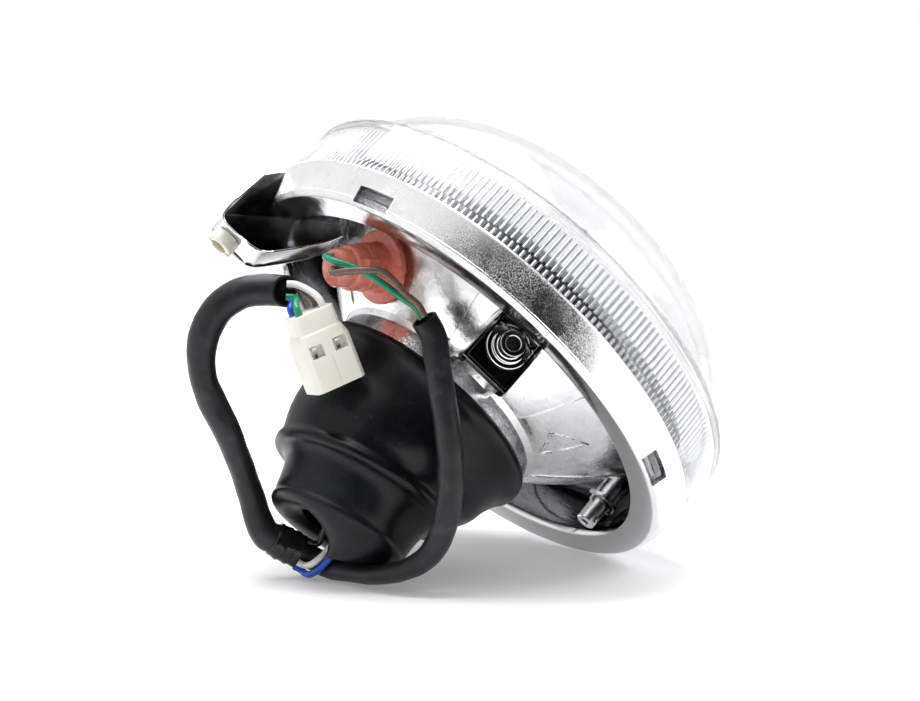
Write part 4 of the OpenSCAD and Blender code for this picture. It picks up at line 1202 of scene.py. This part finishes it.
def pivotPad(s):
    # plate, raised frame, side plates that reach the bowl, front plate and boss
    j = pivotBehindJoint
    reach, half, w, wall, rear = s["padReach"], s["padL"] / 2, s["padW"] / 2, s["padWall"], s["padRear"]
    plate = rounded(block((reach - s["padT"], j - half, -w), (reach, j + half, w)), 0.25)
    frameOuter = block((reach - 0.2, j - half, -w), (reach + 0.6, j + half, w))
    frameInner = block((reach - 1, j - half + 1, 1 - w), (reach + 3, j + half - 1, w - 1))
    frame = rounded(cut(frameOuter, frameInner), 0.18)
    sideOutline = [(reach, j - half), (reach, j + half), (reach - 4, j + half), (s["neckR"] + 6, rear)]
    for k in range(5):
        y = rear - k / 4 * (rear - (j - half))
        sideOutline.append((max(bowlReach(y) - 0.8, s["neckR"] - 1), y))
    sides = [rounded(slab(sideOutline, z, z + wall), 0.2) for z in (-w, w - wall)]
    start = bowlReach(j - half + 0.8) - 0.8
    front = block((start, j - half, -w), (reach + 0.2, j - half + wall, w))

    def onPad(p):
        return (reach - 0.2 + p[2], j + p[1], p[0])
    boss = cut(tower(s["boss"], 64, onPad), block((-1.4, -1.4, 1.0), (1.4, 1.4, 8), onPad))
    return [plate, frame, *sides, front, boss]


def fixingPost(s):
    def onPost(p):
        return (p[0], p[2], s["postZ"] + p[1])
    root = bowlY(58, 1.2)
    end = s["postEnd"]
    post = tower([(0, root), (3.5, root), (3.2, root + 3), (3.0, end - 3), (2.9, end - 0.3), (2.6, end), (1.6, end),
                  (1.3, end - 0.4), (1.3, end - 14), (0, end - 14.2)], 48, onPost)
    ribs = [rounded(block((0, -0.5, root), (4.3, 0.5, end - 6), spun(onPost, a)), 0.15) for a in (0, 120, 240)]
    # a split collar runs most of the way round
    collar = []
    for k in range(41):
        t = math.radians(100 + k * 6.2)
        collar.append([onPost((r * math.cos(t), r * math.sin(t), end - 9 + h))
                       for r, h in ((4.0, 0), (5.2, 0), (5.2, 1.1), (4.0, 1.1))])
    return [post, *ribs, rounded(loft(collar, capStart=True, capEnd=True), 0.15)]


def seatBosses(s):
    def upright(p):
        return (p[0], p[2], p[1])
    return [tower(s["seat"], 36, lambda p: spun(upright, a)((s["seatBoss"] + p[0], p[1], p[2])))
            for a in (90, 210, 330)]


def armOutline(s, t):
    # seen from the side: back and up, drawn in by t all round
    back, top = s["armBack"], s["armTop"]
    return [(0.1 + t, 77.2), (5.8 - t * 0.3, top - 0.4 - t), (back - 1.4 - t, top - t), (back - t, top - 1.6 - t),
            (back - 0.4 - t, 68 + t * 0.3), (back - 1.5 - t, 65.6 + t * 0.6), (back - 3.6 - t * 0.7, 63.6 + t * 0.9),
            (8 - t * 0.5, 54.6 + t), (3 - t * 0.2, 52.4 + t), (1, 56 + t), (-2 + t, 60), (-2 + t, 70), (0.1 + t, 74)]


def adjusterArm(s):
    def place(p):
        return (p[2], p[0], p[1])
    half, wall = s["armW"] / 2, s["armWall"]
    body = rounded(slab(armOutline(s, 0), -half, half, place), 0.3, 2, 24)
    inside = slab(armOutline(s, wall), -half + wall, half - wall, place)
    room = [(lens["rimR"] + 12, -20), (lens["rimR"] + 12, 0), (1, 0), (1, -20)]
    channel = [(66.7, -1), (rimAt(-1) - 1.9, -1), (rimAt(8.5) - 1.9, 8.5), (66.7, 8.5)]
    hole = tower([(0, 19), (3.1, 19), (3.1, 29), (0, 29)], 40, lambda p: (p[0], p[2], s["nutZ"] + p[1]))
    shell = cut(body, inside, turned(room, 96), turned(channel, 96), hole)
    # a fine bead runs round the edge of both side plates and takes the light
    beads = []
    for x in (-half, half):
        path = smoothPath([(x, y, z) for y, z in armOutline(s, 0.15)[1:9]], 6)
        beads.append(loft(tubeRings(path, lambda i, share: (0.34, 0, None), 10), capStart=True, capEnd=True))
    return join(shell, *beads)


triangle = {"angle": 231.5, "reach": 42.5, "size": 6.2, "corners": (68, 188, 308),
            "bar": ((-0.5, -0.3), (-0.3, 0.45), (0.3, 0.45), (0.5, -0.3))}


def raisedTriangle():
    # three bent bars on the bowl, low on the left
    made = []
    size, reach = triangle["size"], triangle["reach"]
    corners = [Vector((size * math.cos(math.radians(a)), size * math.sin(math.radians(a))))
               for a in triangle["corners"]]

    def onBowlAt(u, v, h):
        # u runs round the bowl, v outwards
        r = reach + v
        a = math.radians(triangle["angle"]) + u / reach
        return (r * math.cos(a), bowlY(r) + facetLift(math.degrees(a)) + h, r * math.sin(a))
    for k in range(3):
        a, b, c = corners[k], corners[(k + 1) % 3], corners[(k + 2) % 3]
        line = [a.lerp(b, t) for t in (0.42, 0.6, 0.78, 0.93)] + [b.lerp(c, t) for t in (0.03, 0.12, 0.24)]
        rings = []
        for i, p in enumerate(line):
            d = (line[min(i + 1, len(line) - 1)] - line[max(i - 1, 0)]).normalized()
            n = Vector((-d.y, d.x))
            rings.append([onBowlAt(*(p + n * w), h) for w, h in triangle["bar"]])
        made.append(loft(rings, capStart=True, capEnd=True))
    return made


addHousing(housing)
print("housing done")

boot = {
    "ridgeY": 52.0, "drop": 0.9, "droop": 11.4, "segments": 160, "liftAt": 150, "liftWidth": 60, "lift": 1.6,
    "flapAt": 218, "flapIn": 9.5, "flapOut": 8.5,  # the end skin folds over the opening on this side
    # lip and end of the skin: distance back and radius; the end is measured along its own drooping axis
    "lip": [(21.4, 35.2), (21.5, 36.1), (22.1, 36.8), (23.2, 37.15), (24.6, 37.1), (25.9, 36.6), (27, 35.7),
            (28.2, 34.8), (30, 34.0), (31.6, 33.4)],
    "cone": ((33, 32.9), (-3.4, 28.0)),
    "coneSteps": (0.12, 0.25, 0.4, 0.55, 0.7, 0.85),
    "end": [(-2.4, 28.05), (-1.5, 28.35), (-0.7, 28.6), (0.1, 28.55), (0.8, 28.2), (1.3, 27.5), (1.45, 26.6),
            (1.5, 25.8), (1.75, 25.0), (2.4, 24.1), (3.4, 23.3), (4.8, 22.7), (6.4, 22.2), (8.4, 21.8), (10.6, 21.5),
            (12.2, 21.35), (12.9, 21.1), (13.5, 20.95), (14.1, 21.05), (14.7, 21.2), (15.4, 21.1), (16.1, 20.6),
            (16.6, 19.8), (16.95, 18.6), (17, 17.2), (16.8, 15.4), (16.4, 13.6), (15.9, 12.2), (15.3, 11.3),
            (14.7, 11.0)],
    "endInside": [(14.3, 11.4), (14.5, 14), (14.4, 17.4), (13.4, 19.0), (8, 19.8), (3.5, 21.2), (0.2, 24.4),
                  (-2.6, 26.0)],
    "coneInside": ((0.6, -2.2), (0.2, -2.0)),
    "lipInside": [(30, 32), (27, 33.4), (24.9, 34.0), (24.7, 34.85), (21.6, 34.85)],
}


def addBoot(s):
    droop = math.radians(s["droop"])
    axis = Vector((0, math.cos(droop), -math.sin(droop)))
    lean = Vector((0, math.sin(droop), math.cos(droop)))
    ridge = Vector((0, s["ridgeY"], -s["drop"]))

    def square(y, r):
        # square to the lamp, lifted off the neck on one side
        def at(a):
            off = (math.degrees(a) - s["liftAt"] + 180) % 360 - 180
            rise = s["lift"] * math.exp(-(off / s["liftWidth"]) ** 2) * max(0, min(1, (29 - y) / 6))
            grow = 0.35 * rise
            return Vector(((r + grow) * math.cos(a), y + rise, (r + grow) * math.sin(a)))
        return at

    def droopy(along, r):
        # square to the drooping end, with its flap
        def at(a):
            share = max(0, min(1, (20.6 - r) / 9.4)) if along > 12.5 else 0
            near = max(0, math.cos(a - math.radians(s["flapAt"]))) ** 1.1
            reach = r - s["flapIn"] * near * share ** 1.2
            rise = s["flapOut"] * near * share ** 0.8
            return (ridge + axis * (along + rise) + Vector((1, 0, 0)) * reach * math.cos(a)
                    + lean * reach * math.sin(a))
        return at

    def between(p, q, t, out=0.0):
        def at(a):
            spot = p(a).lerp(q(a), t)
            # fuller above and below
            full = 0.45 + 0.55 * max(0, math.cos(a - math.radians(140)), math.cos(a - math.radians(262)))
            return spot + Vector((math.cos(a), 0, math.sin(a))) * out * (full if out > 0 else 1)
        return at
    coneFrom, coneTo = square(*s["cone"][0]), droopy(*s["cone"][1])
    outer = [square(*p) for p in s["lip"]] + [coneFrom]
    outer += [between(coneFrom, coneTo, t, 2.0 * math.sin(math.pi * t) * t ** 0.5) for t in s["coneSteps"]]
    outer += [coneTo] + [droopy(*p) for p in s["end"]]
    inner = [droopy(*p) for p in s["endInside"]]
    inner += [between(coneFrom, coneTo, t, out) for t, out in s["coneInside"]]
    inner += [square(*p) for p in s["lipInside"]]
    rings = []
    for i, at in enumerate(outer + inner):
        ring = []
        for k in range(s["segments"]):
            p = at(2 * math.pi * k / s["segments"])
            if 1 <= i < len(outer) - 1:
                # soft lumps, square to the skin
                middle = Vector((0, p.y, -max(0, p.y - 40) * 0.15))
                away = (p - middle).normalized()
                soft = noise.noise(p * 0.045) * 0.3 + noise.noise(p * 0.12 + Vector((7, 0, 0))) * 0.14
                p = p + away * soft
            ring.append(p)
        rings.append(ring)
    return addPiece("boot_skin", loft(rings, loop=True), "boot_rubber", 50, ["rubber_boot"])


addBoot(boot)
print("boot done")

# the position lamp's holder and the adjuster's nut: radius and height over the place where they stand
stem = [(0, 4.8), (5.0, 4.8), (5.0, -4.0), (7.5, -4.0), (7.7, -3.6), (7.7, 0.9), (10.2, 0.9), (10.6, 1.2),
        (10.6, 2.4), (10.35, 2.8), (9.8, 2.95), (8.0, 3.0), (7.4, 3.15), (7.15, 3.5), (6.95, 9.0), (6.6, 9.35),
        (6.5, 13.2), (6.2, 13.8), (5.5, 14.1), (5.4, 17.9), (5.1, 18.45), (4.5, 18.6), (0, 18.6)]
nut = [(2.55, 4.0), (2.9, 4.1), (3.7, 4.05), (4.15, 3.8), (4.3, 3.3), (4.3, 0.3), (4.1, 0.02), (2.95, 0.0),
       (2.95, -1.8), (3.3, -1.9), (3.2, -2.4), (2.55, -2.5)]


def addHolder():
    body = tower(stem, 72, holderPoint)
    slots = [block((6.3, -1.1, 4.6), (9, 1.1, 7.6), spun(holderPoint, a)) for a in (35, 155, 275)]
    slots.append(block((-1.0, -7, 15.2), (1.0, -1.5, 20), holderPoint))
    slots.append(tower([(0, 16), (1.15, 16), (1.15, 20), (0, 20)], 16, shifted(holderPoint, 3, 1)))
    shape = cut(body, *slots)
    lugs = [rounded(block((5.4, -2.4, 8.6), (8.4, 2.4, 12.6), spun(holderPoint, a)), 0.5, 3) for a in (100, 280)]
    return addPiece("position_lamp_holder", join(shape, *lugs), "holder_pink", 35, ["position_holder"])


def addNut(s):
    def place(p):
        return (p[0], s["armBack"] + p[2], s["nutZ"] + p[1])
    shape = cut(tower(nut, 48, place, closed=True), block((-0.6, -6, 2.4), (0.6, 6, 5), place))
    return addPiece("adjuster_nut_body", shape, "natural_nylon", 35, ["adjuster_nut"])


addHolder()
addNut(housing)
print("small parts done")

# parts of the CAD model that stay as they are, and what they are made of
carried = {
    "lens_sealant": "sealant", "bulb_seat_ring": "zinc_steel", "seat_screws": "zinc_steel",
    "bulb_spring_clip": "spring_wire", "main_bulb_cap": "bulb_metal", "main_bulb_glass": "bulb_glass",
    "main_bulb_filaments": "tungsten", "main_bulb_blades": "contact_brass", "bulb_plug": "plug_dark",
    "position_bulb": "bulb_glass", "position_filament": "tungsten", "adjuster_insert": "contact_brass",
}
for name, slot in carried.items():
    node = frame["nodes"][name]
    if not node.data.materials:
        node.data.materials.append(finishes[slot])
    for place in node.material_slots:
        place.material = finishes[slot]

print("whole lamp done")
